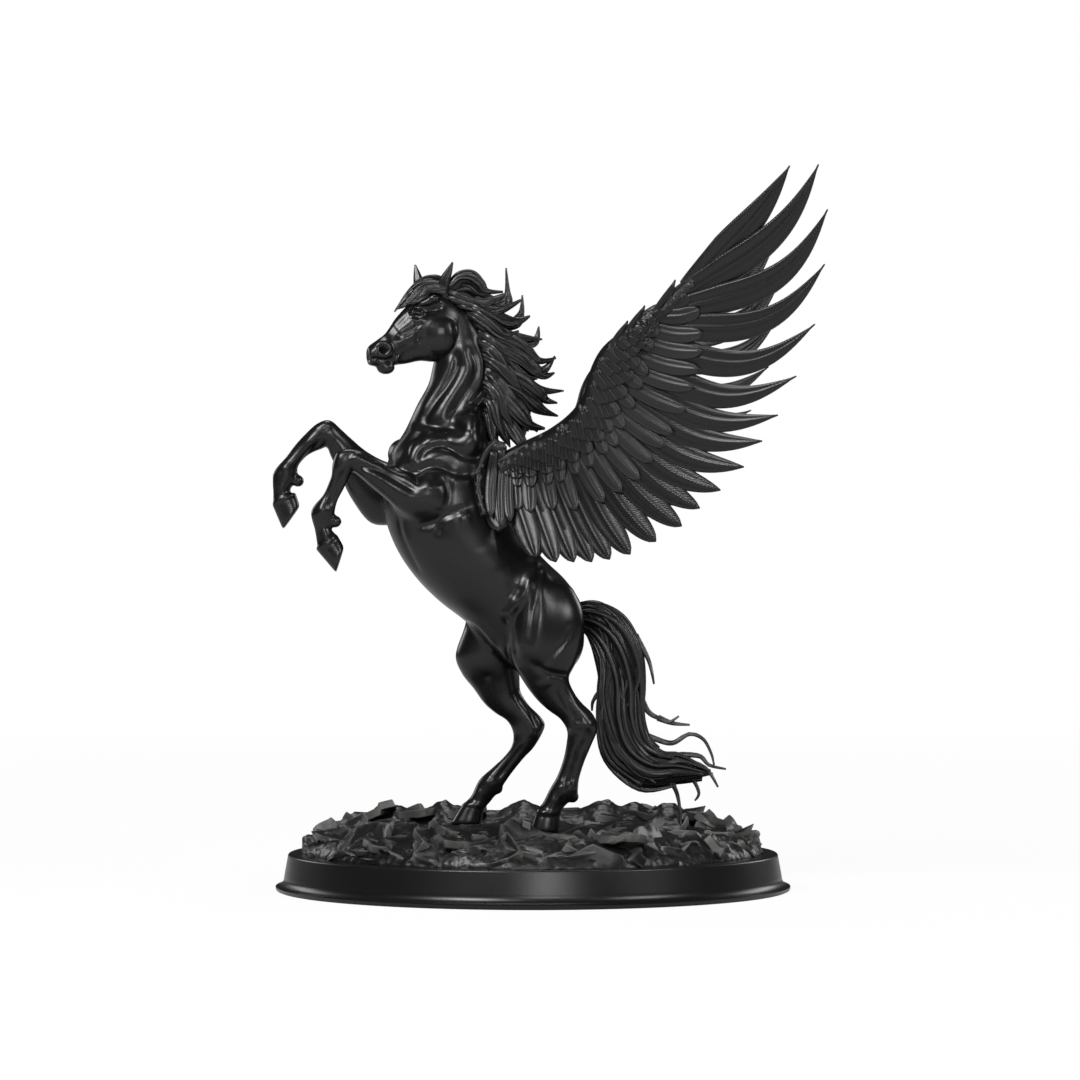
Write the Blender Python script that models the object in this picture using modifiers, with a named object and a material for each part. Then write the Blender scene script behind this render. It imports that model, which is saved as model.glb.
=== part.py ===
# Rearing winged horse on a rocky turned plinth, cast in one piece of dark resin.
# The horse faces -X, its left side faces -Y, and the plinth stands on z = 0.
# Every length below is in millimetres; the finished mesh is in metres.

import math
import random

import bmesh
import bpy
from mathutils import Matrix, Vector, noise

MM = 0.001
COLLECTION = "pegasus_figurine"
NODE = "pegasus_figurine"

# Turned plinth
PLINTH_HEIGHT = 14.6
PLINTH_FOOT_RADIUS = 102.8
PLINTH_FOOT_HEIGHT = 5.4
PLINTH_WALL_FOOT_RADIUS = 99.4
PLINTH_WALL_TOP_RADIUS = 97.9
PLINTH_EDGE_ROUND = 0.9
PLINTH_SEGMENTS = 96

# Rock on the plinth
RIM_WIDTH = 6.6
ROCK_HEIGHT = 10.4
ROCK_EDGE_WIDTH = 9.0
ROCK_SINK = 4.0
ROCK_ROUGHNESS = 1.7
SLAB_LENGTH = 22.0
SLAB_THICKNESS = 4.2
EDGE_SLABS = 26
TOP_SLABS = 22
# Broken skyline of the rock behind the horse: x, height over the plinth
SKYLINE_Y = 46.0
SKYLINE_DEPTH = 15.0
SKYLINE = (
    (-78, 8), (-73, 9.4), (-63, 16.8), (-55, 16.6), (-46, 13.8), (-37, 19.6), (-32, 16.8), (-20, 14.4),
    (-14, 14.6), (-4, 19.2), (4, 15.4), (17, 14.2), (27, 18.6), (32, 19.0), (35, 15.4), (42, 18.8),
    (48, 14.2), (53, 17.6), (58, 17.8), (62, 14.0), (71, 12.2), (80, 10),
)
SEED = 7

# The horse stands on the rock: every height of the figure is measured from the near hoof.
GROUND = PLINTH_HEIGHT + ROCK_HEIGHT

# Sections of the horse: front x, front z, back x, back z, y, half width
TRUNK = (
    (-34.8, 208.2, -23.6, 205.8, 0.0, 5.5),
    (-37.2, 196.6, -18.8, 197.0, 0.0, 7.0),
    (-40.4, 184.2, -16.0, 187.4, 0.0, 8.0),
    (-42.0, 177.0, -15.2, 176.2, 0.0, 9.2),
    (-46.4, 169.0, -16.0, 167.4, 0.0, 11.0),
    (-51.6, 157.8, -17.2, 157.8, 0.0, 14.0),
    (-57.2, 148.6, -14.4, 148.6, 0.0, 18.0),
    (-60.0, 137.0, -11.6, 142.6, 0.0, 21.0),
    (-59.6, 125.0, -8.4, 133.8, 0.0, 22.5),
    (-54.8, 111.4, -5.2, 124.6, 0.0, 23.0),
    (-46.8, 99.4, -1.6, 114.6, 0.0, 22.5),
    (-37.2, 89.8, 4.8, 106.6, 0.0, 21.5),
    (-26.8, 81.8, 13.2, 98.6, 0.0, 20.5),
    (-16.4, 71.4, 19.6, 88.6, 0.0, 19.0),
    (-8.4, 63.4, 20.8, 77.8, 0.0, 16.0),
    (-0.4, 58.6, 17.6, 66.6, 0.0, 11.0),
)
HEAD = (
    (-65.4, 184.2, -65.9, 190.9, -10.6, 3.4),
    (-62.8, 182.0, -64.6, 192.4, -10.0, 4.4),
    (-58.8, 180.2, -61.8, 194.4, -8.8, 4.5),
    (-55.3, 182.4, -58.5, 197.2, -7.6, 4.0),
    (-50.6, 184.8, -54.6, 203.1, -6.2, 4.4),
    (-45.1, 186.0, -49.9, 208.4, -4.6, 5.6),
    (-39.5, 185.7, -45.1, 211.6, -3.2, 6.8),
    (-34.0, 187.3, -39.6, 213.7, -1.8, 7.2),
    (-29.2, 192.6, -34.0, 212.2, -0.6, 6.2),
    (-26.0, 198.6, -29.2, 209.0, 0.0, 4.0),
)
NEAR_FORELEG = (
    (-33.7, 121.0, -29.8, 140.8, -13.0, 7.0),
    (-43.2, 121.7, -39.2, 141.1, -17.0, 8.5),
    (-51.1, 124.1, -47.9, 140.7, -17.5, 7.6),
    (-57.8, 130.1, -55.4, 143.1, -17.0, 6.2),
    (-65.0, 136.4, -62.6, 146.7, -16.5, 5.0),
    (-70.5, 141.2, -68.6, 150.3, -16.0, 4.4),
    (-71.7, 141.2, -76.5, 150.3, -16.0, 4.6),
    (-72.1, 140.4, -79.3, 145.9, -16.0, 4.6),
    (-73.3, 138.4, -79.7, 140.8, -15.8, 3.6),
    (-75.3, 134.4, -80.9, 137.2, -15.6, 2.8),
    (-77.7, 129.7, -83.2, 132.4, -15.4, 2.7),
    (-78.9, 124.1, -88.0, 126.1, -15.2, 3.7),
    (-80.1, 119.4, -86.4, 117.8, -15.0, 2.9),
    (-77.3, 116.2, -85.2, 109.8, -15.0, 3.6),
)
FAR_FORELEG = (
    (-53.6, 120.6, -45.5, 142.8, 12.0, 9.0),
    (-65.0, 121.1, -58.5, 146.1, 16.0, 8.0),
    (-73.1, 130.8, -66.7, 150.1, 17.0, 6.5),
    (-77.6, 140.0, -72.3, 154.6, 17.0, 5.2),
    (-81.6, 148.1, -77.1, 159.0, 16.5, 4.5),
    (-83.2, 152.1, -82.0, 163.0, 16.0, 4.4),
    (-85.2, 151.3, -86.8, 161.8, 16.0, 4.2),
    (-88.4, 150.1, -91.2, 158.2, 15.8, 3.6),
    (-91.6, 148.1, -96.1, 152.9, 15.6, 2.8),
    (-94.8, 144.1, -99.7, 148.1, 15.4, 2.7),
    (-95.2, 139.6, -104.9, 141.6, 15.2, 3.7),
    (-98.0, 134.4, -104.9, 134.0, 15.0, 2.9),
    (-95.6, 133.2, -104.9, 127.9, 15.0, 3.6),
)
NEAR_HIND_LEG = (
    (-9.1, 94.7, 15.5, 96.7, -8.0, 9.0),
    (-11.9, 82.8, 20.3, 86.0, -11.0, 10.5),
    (-10.3, 72.9, 19.9, 74.9, -12.0, 10.5),
    (-7.5, 65.0, 17.1, 65.7, -12.5, 9.0),
    (-3.2, 57.4, 14.3, 59.8, -12.5, 7.0),
    (1.6, 51.1, 16.3, 54.2, -12.5, 5.6),
    (6.4, 46.7, 19.5, 49.9, -12.5, 4.8),
    (10.7, 43.5, 23.9, 45.5, -12.5, 4.4),
    (13.5, 38.7, 25.8, 39.9, -12.5, 4.4),
    (13.1, 32.8, 23.1, 32.8, -12.5, 3.9),
    (11.9, 27.2, 20.3, 26.0, -12.5, 3.2),
    (9.6, 20.9, 18.3, 19.3, -12.5, 3.1),
    (6.4, 15.3, 17.5, 13.7, -12.5, 4.2),
    (4.0, 10.5, 12.7, 8.9, -12.5, 3.8),
    (1.2, 7.0, 10.7, 5.4, -12.5, 4.4),
)
FAR_HIND_LEG = (
    (-25.3, 90.5, 2.8, 90.5, 8.0, 9.0),
    (-27.8, 79.6, -1.2, 80.4, 11.0, 10.0),
    (-31.4, 68.3, -4.4, 68.3, 12.0, 10.0),
    (-28.6, 60.6, -5.3, 61.4, 12.5, 8.5),
    (-24.2, 55.0, -5.3, 57.4, 12.5, 6.8),
    (-19.8, 48.9, -4.9, 53.4, 12.5, 5.4),
    (-15.3, 44.9, -1.6, 48.1, 12.5, 4.6),
    (-10.5, 41.7, 3.2, 43.3, 12.5, 4.3),
    (-8.1, 36.9, 4.8, 39.3, 12.5, 4.3),
    (-8.5, 31.6, 0.8, 31.6, 12.5, 3.8),
    (-11.7, 27.2, -3.6, 26.8, 12.5, 3.0),
    (-16.5, 22.8, -8.5, 20.7, 12.5, 2.9),
    (-21.8, 17.9, -12.5, 15.1, 12.5, 4.0),
    (-25.0, 11.5, -16.9, 9.5, 12.5, 3.6),
    (-29.0, 7.5, -19.8, 6.2, 12.5, 4.3),
)

# Hooves: heel x, heel z, toe x, toe z at the sole, under the last section of the leg
NEAR_FORE_SOLE = (-74.9, 111.8, -78.1, 101.5)
FAR_FORE_SOLE = (-94.0, 128.3, -100.9, 118.6)
NEAR_HIND_SOLE = (10.7, -1.2, -1.6, -1.2)
FAR_HIND_SOLE = (-20.6, 0.2, -33.5, 0.2)
HOOF_FLARE = 1.18
# Tufts behind the fetlocks
ERGOTS = ((-78.3, -15.2, 121.9), (-94.8, 15.2, 138.4), (15.8, -12.5, 12.6), (-14.5, 12.5, 14.6))
ERGOT_RADIUS = 2.5

# Muscles of both sides: x, y, z, half length, half depth, half width, tilt in degrees from +X
MUSCLES = (
    (-35.0, 11.0, 137.5, 13.0, 10.5, 11.0, 60),
    (-44.0, 11.0, 146.5, 15.0, 8.0, 8.0, 40),
    (-50.0, 8.0, 140.0, 10.0, 8.5, 9.0, 70),
    (-27.0, 11.0, 150.0, 16.0, 8.0, 7.5, 75),
    (2.0, 9.5, 88.0, 17.0, 12.5, 11.0, 115),
    (9.5, 8.5, 78.0, 16.0, 11.0, 11.5, 100),
    (-17.5, 10.0, 139.0, 13.0, 8.0, 9.0, 115),
)
# The point of the far shoulder: the same values
FAR_SHOULDER_POINT = (-53.5, 8.5, 150.0, 6.0, 5.0, 5.5, 60)
CHEEK = (-37.6, -4.4, 196.6, 9.2, 9.2, 6.6)
CHIN = (-58.4, -9.6, 183.4, 3.2, 2.7, 2.8)
NOSTRIL = (-61.4, -12.4, 189.6, 2.4, 1.8, 1.8)
BROW = (-45.4, -8.6, 205.4, 3.6, 1.6, 1.9)
EAR_LENGTH = 9.0
NEAR_EAR = (-36.0, -4.0, 216.4, -32.3, -5.0)
FAR_EAR = (-46.2, 3.2, 216.6, -47.3, 4.0)
EAR_HALF_WIDTH = 2.3

# Wings, seen from the side: the arm from shoulder to hand, then feather tips in order
SHOULDER = (-11.2, 142.6)
WING_ROOT_Y = 17.0
WING_SPREAD = 0.45
WING_CURL = 0.0009
ARM = (
    (-14, 143), (-3, 149), (8, 154.5), (17, 161.5), (23, 170),
    (25.5, 180), (30, 188.5), (40, 196.5), (51, 204.5), (62, 214.5),
)
ARM_RADIUS = 5.0
HAND_RADIUS = 2.4
# Each flight feather: tip x, tip z, and how far its middle sags, as a share of its length
FLIGHT = (
    (99, 259, 0.04), (110, 260, 0.10), (114, 242, 0.15), (113, 221, 0.17), (109, 198, 0.175),
    (102, 178, 0.165), (95, 163, 0.14), (89, 153, 0.13), (82, 143, 0.12), (73, 134, 0.10),
    (65, 127, 0.07), (58, 120, 0.06), (48, 114, 0.05), (38, 109, 0.04), (30, 107, 0.03), (23, 106, 0.02),
    (16, 106, 0.01), (9, 106, 0.0), (1, 108, 0.0),
)
FLIGHT_HALF_WIDTH = 6.0
FLIGHT_THICKNESS = 1.9
GREATER_TIPS = (
    (60, 210), (65, 204), (66, 195), (66, 188), (65, 181), (63, 174), (60, 165), (55, 156), (52, 151),
    (47, 145), (42, 138), (35, 133), (28, 129), (17, 126), (8, 126), (-1, 125), (-6, 126), (-11, 127),
)
GREATER_HALF_WIDTH = 3.3
GREATER_THICKNESS = 3.2
MEDIAN_TIPS = (
    (42, 198), (48, 194), (47, 189), (45, 179), (43, 174), (40, 166), (36, 158), (33, 151), (29, 148),
    (23, 143), (17, 140), (11, 137), (6, 136), (-1, 135), (-6, 135), (-10, 136),
)
MEDIAN_HALF_WIDTH = 2.9
MEDIAN_THICKNESS = 4.8
LESSER_ROWS = 3
LESSER_PER_ROW = 13
LESSER_HALF_WIDTH = 2.3
LESSER_THICKNESS = 6.4
# Beaded strip down the wing's root, and the smooth plate behind it: x and z
ROOT_STRIP = ((-14.0, 153.5), (-18.5, 149.0), (-21.4, 141.0), (-21.2, 132.0), (-19.0, 124.5))
ROOT_STRIP_RADIUS = 2.1
ROOT_PLATE = ((-14.5, 153.0), (-13.5, 118.0))
ROOT_PLATE_HALF_WIDTH = 5.4
ROOT_PLATE_THICKNESS = 4.4
COVERT_BEND = 0.08
FEATHER_ROLL = 9.0
TIP_HALF_WIDTH = 0.65
# The far wing is held a little further out and back than the near one.
FAR_WING_SWING = 9.2
FAR_WING_PITCH = 4.6
FAR_WING_SIZE = 0.96
FAR_WING_RISE = 1.2

# Locks of the mane, from root to tip as seen from the side: y at the root and at the tip, half width,
# then the x and z of their points. Those off the middle appear on both sides of the neck.
MANE_LOCKS = (
    (-3.0, -3.0, 2.6, (-33.1, 215.9), (-29.4, 219.2), (-24.8, 219.8), (-21.1, 217.2), (-18.4, 214.2),
     (-12.0, 213.9)),
    (-5.0, -5.0, 2.4, (-31.5, 211.8), (-25.1, 209.6), (-19.0, 209.2), (-13.5, 211.5), (-11.0, 213.0)),
    (-5.0, -4.0, 2.2, (-26.9, 208.1), (-20.8, 206.9), (-15.3, 206.3), (-9.2, 208.1), (-4.9, 210.6)),
    (-5.0, -2.0, 2.8, (-22.7, 207.0), (-15.9, 203.9), (-10.1, 201.5), (-5.2, 202.2), (-1.2, 204.2)),
    (-6.0, -4.0, 2.6, (-22.0, 203.9), (-15.3, 199.0), (-10.4, 196.2), (-5.7, 198.2)),
    (-5.0, -1.0, 3.0, (-20.2, 201.5), (-12.9, 196.6), (-4.9, 195.4), (3.7, 194.9)),
    (-6.0, -2.0, 3.4, (-18.4, 194.1), (-12.3, 189.9), (-4.9, 186.8), (1.2, 181.3), (4.5, 179.2)),
    (-4.0, -1.0, 3.0, (-18.5, 197.5), (-11.1, 195.5), (-3.7, 191.8), (2.4, 186.3), (9.2, 187.4)),
    (-4.0, -1.0, 2.8, (-16.5, 192.0), (-6.2, 188.2), (0.6, 182.6), (4.8, 180.2), (8.6, 181.5)),
    (-7.0, -6.0, 2.6, (-16.5, 190.4), (-11.6, 184.9), (-8.6, 180.6), (-7.5, 177.2)),
    (-7.0, -5.0, 2.8, (-15.9, 185.5), (-10.4, 181.2), (-6.1, 175.7), (-3.3, 169.3)),
    (-4.0, -1.0, 3.2, (-17.5, 184.0), (-11.1, 182.0), (-2.5, 176.5), (4.8, 174.3), (12.3, 174.3)),
    (-5.0, -2.0, 3.0, (-16.5, 182.0), (-4.9, 178.5), (2.4, 173.2), (5.4, 170.4), (9.7, 169.4)),
    (-7.0, -6.0, 2.6, (-15.9, 179.4), (-11.0, 173.3), (-6.8, 169.6), (-4.0, 166.4)),
    (-5.0, -3.0, 3.2, (-17.0, 178.0), (-6.2, 173.4), (0.6, 168.5), (4.8, 166.0), (10.0, 164.2)),
    (-8.0, -8.0, 2.6, (-16.2, 174.5), (-12.8, 168.4), (-9.8, 162.9), (-8.0, 159.7)),
    (-6.0, -6.0, 2.8, (-17.0, 173.0), (-8.6, 169.6), (-3.7, 164.1), (-0.7, 160.5), (1.8, 158.0)),
    (-8.0, -9.0, 2.6, (-16.8, 169.6), (-14.1, 161.6), (-11.0, 155.5), (-9.2, 151.9)),
    (-7.0, -7.0, 2.8, (-16.5, 176.0), (-6.8, 165.3), (-1.3, 160.5), (4.8, 159.2)),
    (-6.0, -3.0, 2.8, (-17.5, 189.5), (-12.3, 186.8), (-3.7, 180.1), (1.8, 179.2)),
    (-7.0, -9.0, 2.4, (-17.7, 164.7), (-16.5, 158.6), (-15.3, 153.1), (-13.5, 149.5)),
    (-5.0, -9.0, 3.0, (-16.0, 168.0), (-8.0, 158.0), (-3.0, 152.0), (1.0, 149.0)),
)
# Upswept points of the mane and the locks along the middle of the neck
MIDDLE_LOCKS = (
    (0.0, 0.0, 2.6, (-22.0, 204.0), (-13.5, 207.4), (-10.8, 209.6), (-10.2, 213.9), (-10.8, 223.4)),
    (0.0, 1.0, 2.4, (-19.0, 199.0), (-9.2, 201.0), (-5.9, 202.7), (-4.5, 206.4), (-4.3, 212.6)),
    (0.0, 0.0, 2.4, (-17.0, 192.0), (-5.0, 193.0), (-0.1, 193.7), (1.6, 195.9), (2.3, 200.0)),
    (0.0, 0.0, 2.4, (-12.0, 184.0), (0.0, 182.0), (5.0, 183.0), (8.8, 188.2)),
    (0.0, 0.0, 4.0, (-24.0, 210.0), (-15.0, 200.0), (-8.0, 186.0), (-3.0, 170.0), (-2.0, 158.0)),
    (0.0, 0.0, 4.0, (-18.0, 180.0), (-8.0, 172.0), (-4.0, 162.0), (-6.0, 150.0)),
)
# Forelock: the near side and top, then the far side
FORELOCKS = (
    (-2.0, -6.0, 2.2, (-34.0, 217.0), (-39.6, 219.6), (-43.9, 218.6), (-47.9, 215.6), (-51.4, 212.0),
     (-55.2, 205.6)),
    (-4.0, -8.5, 2.0, (-34.0, 216.6), (-41.2, 217.6), (-45.2, 215.2), (-48.5, 212.0), (-51.5, 209.2),
     (-54.1, 206.6)),
    (-6.0, -9.0, 1.9, (-35.0, 215.2), (-41.2, 215.6), (-43.8, 213.3), (-46.8, 210.9), (-49.8, 208.8)),
    (-1.0, -3.5, 2.0, (-33.0, 216.0), (-37.4, 219.8), (-41.4, 219.9), (-46.5, 217.2), (-50.5, 212.6)),
    (1.0, -1.5, 2.0, (-33.0, 214.5), (-39.0, 218.0), (-44.5, 215.8), (-49.0, 211.2), (-52.5, 207.4)),
    (3.5, 2.0, 2.0, (-33.0, 213.5), (-38.5, 215.6), (-43.5, 212.6), (-47.0, 208.4)),
)
LOCK_TAPER = 0.45

# Tail: centre x, z, half depth, half thickness
TAIL = (
    (13.0, 84.0, 4.0, 4.0),
    (22.0, 84.6, 6.8, 5.0),
    (30.0, 79.6, 9.2, 6.0),
    (34.8, 70.0, 10.2, 6.6),
    (36.6, 58.0, 10.0, 6.6),
    (35.6, 44.0, 10.2, 6.2),
    (38.0, 31.4, 10.6, 5.8),
    (46.5, 23.4, 10.0, 5.4),
    (58.0, 22.2, 6.4, 4.4),
    (68.0, 20.6, 2.6, 2.6),
)
TAIL_STRANDS = 15
TAIL_STRAND_RADIUS = 2.7
TAIL_CORE_SHARE = 0.78
TAIL_TWIST = 1.6
GOLDEN_ANGLE = 2.39996
# Bundles that cross the tail's near and far face, as the locks of the mane
TAIL_BUNDLES = (
    (-5.0, -6.0, 2.4, (19.7, 88.5), (27.0, 87.3), (34.9, 80.6), (40.5, 72.0), (42.3, 62.9),
     (41.1, 55.5), (37.4, 48.2)),
    (-5.0, -6.8, 2.2, (20.3, 86.7), (27.6, 84.3), (33.1, 76.9), (36.8, 68.4), (38.0, 60.4), (35.5, 50.7)),
    (-5.0, -6.6, 2.2, (20.0, 86.8), (25.8, 82.0), (29.4, 73.9), (30.7, 62.9), (28.2, 51.9), (27.4, 42.7)),
    (-5.5, -4.0, 2.4, (25.6, 74.5), (28.0, 62.9), (28.2, 51.9), (31.2, 39.6), (35.4, 30.5),
     (41.6, 22.5), (49.0, 17.6)),
    (-6.6, -3.0, 2.6, (33.1, 70.2), (34.9, 58.0), (35.5, 45.8), (38.0, 36.6), (43.5, 28.7),
     (51.4, 25.0), (59.4, 26.4),
     (71.0, 22.4)),
    (-5.5, -2.0, 2.4, (40.5, 65.1), (40.6, 51.8), (41.8, 40.8), (45.0, 33.5), (51.5, 28.8),
     (58.8, 28.6), (70.0, 22.8)),
    (-5.0, -2.0, 2.4, (28.0, 48.8), (31.2, 36.5), (37.2, 27.4), (44.1, 21.3), (52.7, 20.7),
     (61.2, 23.3), (68.6, 22.0)),
)
WISPS = (
    ((43.0, 52.0), (46.0, 46.0), (50.0, 43.4), (54.4, 41.8), (58.4, 44.2)),
    ((50.0, 43.4), (56.0, 41.2), (62.8, 40.6)),
    ((42.0, 38.0), (48.0, 35.4), (55.6, 33.4), (62.4, 37.0), (68.0, 35.0), (71.2, 29.4), (72.4, 24.6)),
    ((47.0, 20.4), (54.4, 17.8), (57.2, 14.2), (58.6, 8.0), (59.2, 0.5)),
    ((42.8, 24.6), (58.4, 21.0), (63.6, 19.0), (66.4, 13.4), (64.8, 10.2)),
    ((50.8, 28.6), (65.6, 28.4), (70.4, 24.6), (77.2, 23.0)),
    ((58.0, 27.4), (68.8, 23.4), (74.0, 15.8)),
    ((28.8, 62.6), (26.6, 54.6), (24.0, 50.0), (23.6, 46.2)),
    ((40.8, 76.6), (46.2, 66.6), (48.4, 57.0)),
)
WISP_RADIUS = 1.5
WISP_TIP_RADIUS = 0.8
WISP_SPREAD = 1.5
STRAND_TIP = 0.6

# Facets
VOXEL = 0.7
SHORTEST_EDGE = 0.02
MEND_ROUNDS = 8
BODY_SMOOTHING = 7
FIGURE_TRIANGLES = 10000
SECTION_SIDES = 20
STRAND_SIDES = 10
FEATHER_SIDES = 8
FEATHER_STEPS = 9
FEATHER_FULLNESS = 1.5
ROCK_RINGS = 16
ROCK_SPOKES = 64
SLAB_CORNERS = 7


def clear_scene():
    for item in list(bpy.data.objects):
        bpy.data.objects.remove(item, do_unlink=True)


def new_collection(name):
    collection = bpy.data.collections.new(name)
    bpy.context.scene.collection.children.link(collection)
    return collection


def resin_material():
    material = bpy.data.materials.new("black_resin")
    material.use_nodes = True
    shader = material.node_tree.nodes["Principled BSDF"]
    shader.inputs["Base Color"].default_value = (0.022, 0.022, 0.022, 1.0)
    shader.inputs["Roughness"].default_value = 0.42
    shader.inputs["Metallic"].default_value = 0.0
    return material


def lerp(a, b, t):
    return a + (b - a) * t


def curved(rows, steps):
    """Rows of numbers with smooth rows put between them."""
    out = []
    last = len(rows) - 1
    for i in range(last):
        before, here, after, beyond = rows[max(i - 1, 0)], rows[i], rows[i + 1], rows[min(i + 2, last)]
        for step in range(steps):
            t = step / steps
            out.append(tuple(
                0.5 * (2 * b + (c - a) * t + (2 * a - 5 * b + 4 * c - d) * t**2
                       + (3 * b - a - 3 * c + d) * t**3)
                for a, b, c, d in zip(before, here, after, beyond)
            ))
    out.append(tuple(rows[last]))
    return out


def point_at(rows, share, steps=8):
    """The row at a share of the way along a smooth curve through rows."""
    line = curved(rows, steps)
    place = min(max(share, 0.0), 1.0) * (len(line) - 1)
    i = min(int(place), len(line) - 2)
    return tuple(lerp(a, b, place - i) for a, b in zip(line[i], line[i + 1]))


def rounded(value, fullness):
    return math.copysign(abs(value) ** (1 / fullness), value)


def loft(bm, rings, sides, fullness=1.0):
    """A closed skin over rings: centre, half depth vector, half width vector.
    A fullness of 1 makes them ellipses, and more makes them squarer."""
    loops = []
    for centre, deep, wide in rings:
        loop = []
        for k in range(sides):
            angle = 2 * math.pi * (k + 0.5) / sides
            across = rounded(math.cos(angle), fullness)
            over = rounded(math.sin(angle), fullness)
            loop.append(bm.verts.new(centre + deep * across + wide * over))
        loops.append(loop)
    for one, two in zip(loops, loops[1:]):
        for k in range(sides):
            n = (k + 1) % sides
            bm.faces.new((one[k], one[n], two[n], two[k]))
    bm.faces.new(list(reversed(loops[0])))
    bm.faces.new(loops[-1])


def tangents(points):
    out = []
    for i in range(len(points)):
        step = points[min(i + 1, len(points) - 1)] - points[max(i - 1, 0)]
        out.append(step.normalized())
    return out


def limb(bm, rows, steps=4, sides=SECTION_SIDES):
    """A limb lofted through sections that are seen edge-on from the side."""
    smooth = curved(rows, steps)
    centres = [Vector(((r[0] + r[2]) / 2, r[4], (r[1] + r[3]) / 2)) for r in smooth]
    rings = []
    for row, centre, along in zip(smooth, centres, tangents(centres)):
        deep = Vector((row[0] - row[2], 0.0, row[1] - row[3])) / 2
        wide = along.cross(deep).normalized() * row[5]
        rings.append((centre, deep, wide))
    loft(bm, rings, sides)


def strand(bm, rows, flat=0.7, steps=4, sides=STRAND_SIDES):
    """A tapering lock through rows of x, y, z and radius, flattened towards y."""
    smooth = curved(rows, steps)
    centres = [Vector(r[:3]) for r in smooth]
    rings = []
    for row, centre, along in zip(smooth, centres, tangents(centres)):
        deep = along.cross(Vector((0.0, 1.0, 0.0))).normalized() * row[3]
        wide = along.cross(deep).normalized() * row[3] * flat
        rings.append((centre, deep, wide))
    loft(bm, rings, sides)


def ball(bm, centre, half_sizes, tilt=0.0, sides=18):
    place = Matrix.Translation(centre) @ Matrix.Rotation(math.radians(-tilt), 4, "Y")
    size = Matrix.Diagonal((*half_sizes, 1.0))
    bmesh.ops.create_uvsphere(bm, u_segments=sides, v_segments=sides // 2, radius=1.0, matrix=place @ size)


def hoof(bm, leg, sole):
    """A hoof flared from the leg's last section down to the sole."""
    x1, z1, x2, z2, y, half = leg[-1]
    heel_x, heel_z, toe_x, toe_z = sole
    back = Vector((x1, y, z1)) if leg[-1][0] > leg[-1][2] else Vector((x2, y, z2))
    front = Vector((x2, y, z2)) if leg[-1][0] > leg[-1][2] else Vector((x1, y, z1))
    heel, toe = Vector((heel_x, y, heel_z)), Vector((toe_x, y, toe_z))
    rings = []
    for share, flare in ((-0.12, 0.94), (0.0, 1.04), (0.14, 1.0), (1.0, HOOF_FLARE)):
        ends = front.lerp(toe, share), back.lerp(heel, share)
        deep = (ends[0] - ends[1]) / 2
        rings.append(((ends[0] + ends[1]) / 2, deep, Vector((0.0, half * flare, 0.0))))
    loft(bm, rings, SECTION_SIDES)


def build_horse(bm):
    limb(bm, TRUNK)
    limb(bm, HEAD)
    for leg, sole in (
        (NEAR_FORELEG, NEAR_FORE_SOLE),
        (FAR_FORELEG, FAR_FORE_SOLE),
        (NEAR_HIND_LEG, NEAR_HIND_SOLE),
        (FAR_HIND_LEG, FAR_HIND_SOLE),
    ):
        limb(bm, leg)
        hoof(bm, leg, sole)
    for x, y, z, length, depth, width, tilt in MUSCLES:
        for side in (-1, 1):
            ball(bm, (x, side * y, z), (length, width, depth), tilt)
    x, y, z, length, depth, width, tilt = FAR_SHOULDER_POINT
    ball(bm, (x, y, z), (length, width, depth), tilt)
    for place in ERGOTS:
        ball(bm, place, (ERGOT_RADIUS,) * 3)
    for x, y, z, length, depth, width in (CHEEK, CHIN, NOSTRIL, BROW):
        ball(bm, (x, y, z), (length, width, depth))
    # The head turns towards -Y, so its far side lies further along the same line.
    for (x, y, z, length, depth, width), shift in ((CHEEK, 5.0), (NOSTRIL, 6.0), (BROW, 9.0)):
        ball(bm, (x - shift * 0.25, y + shift, z), (length, width, depth))
    for x, y, z, tip_x, tip_y in (NEAR_EAR, FAR_EAR):
        tip_z = z + EAR_LENGTH
        strand(bm, (
            (x, y, z - 3.0, EAR_HALF_WIDTH * 0.7),
            (lerp(x, tip_x, 0.3), lerp(y, tip_y, 0.3), lerp(z, tip_z, 0.3), EAR_HALF_WIDTH),
            (tip_x, tip_y, tip_z, STRAND_TIP),
        ))


def wing_place(x, z):
    """A point of the near wing from its place seen from the side: it bows away from the body."""
    reach = math.hypot(x - SHOULDER[0], z - SHOULDER[1])
    return Vector((x, -(WING_ROOT_Y + WING_SPREAD * reach - WING_CURL * reach**2), z))


def feather(bm, root, tip, half_width, thickness, sharp=0.0, bend=0.0):
    """A blade from root to tip on the wing: x and z of each end. A sharp one narrows early to a point."""
    chord = Vector((tip[0] - root[0], tip[1] - root[1]))
    side = Vector((-chord.y, chord.x)).normalized()
    rings = []
    places = []
    for i in range(FEATHER_STEPS + 1):
        t = i / FEATHER_STEPS
        line = Vector(root) + chord * t - side * bend * chord.length * math.sin(math.pi * t**1.35)
        places.append(wing_place(line.x, line.y))
    lengthways = tangents(places)
    for i, (place, along) in enumerate(zip(places, lengthways)):
        t = i / FEATHER_STEPS
        swell = lerp(0.62, 1.0, min(t / 0.35, 1.0))
        start = lerp(0.6, 0.4, sharp)
        fall = max(t - start, 0.0) / (1 - start)
        taper = max(1 - fall ** lerp(3.0, 1.7, sharp), 0.0) ** lerp(0.5, 1.0, sharp)
        width = max(half_width * swell * taper, TIP_HALF_WIDTH)
        out = along.cross(Vector((side.x, 0.0, side.y))).normalized()
        across = out.cross(along).normalized()
        roll = math.radians(FEATHER_ROLL)
        deep = (across * math.cos(roll) + out * math.sin(roll)) * width
        wide = along.cross(deep).normalized() * max(thickness / 2 * lerp(1.0, 0.6, t), TIP_HALF_WIDTH)
        rings.append((place, deep, wide))
    loft(bm, rings, FEATHER_SIDES, FEATHER_FULLNESS)


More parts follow.
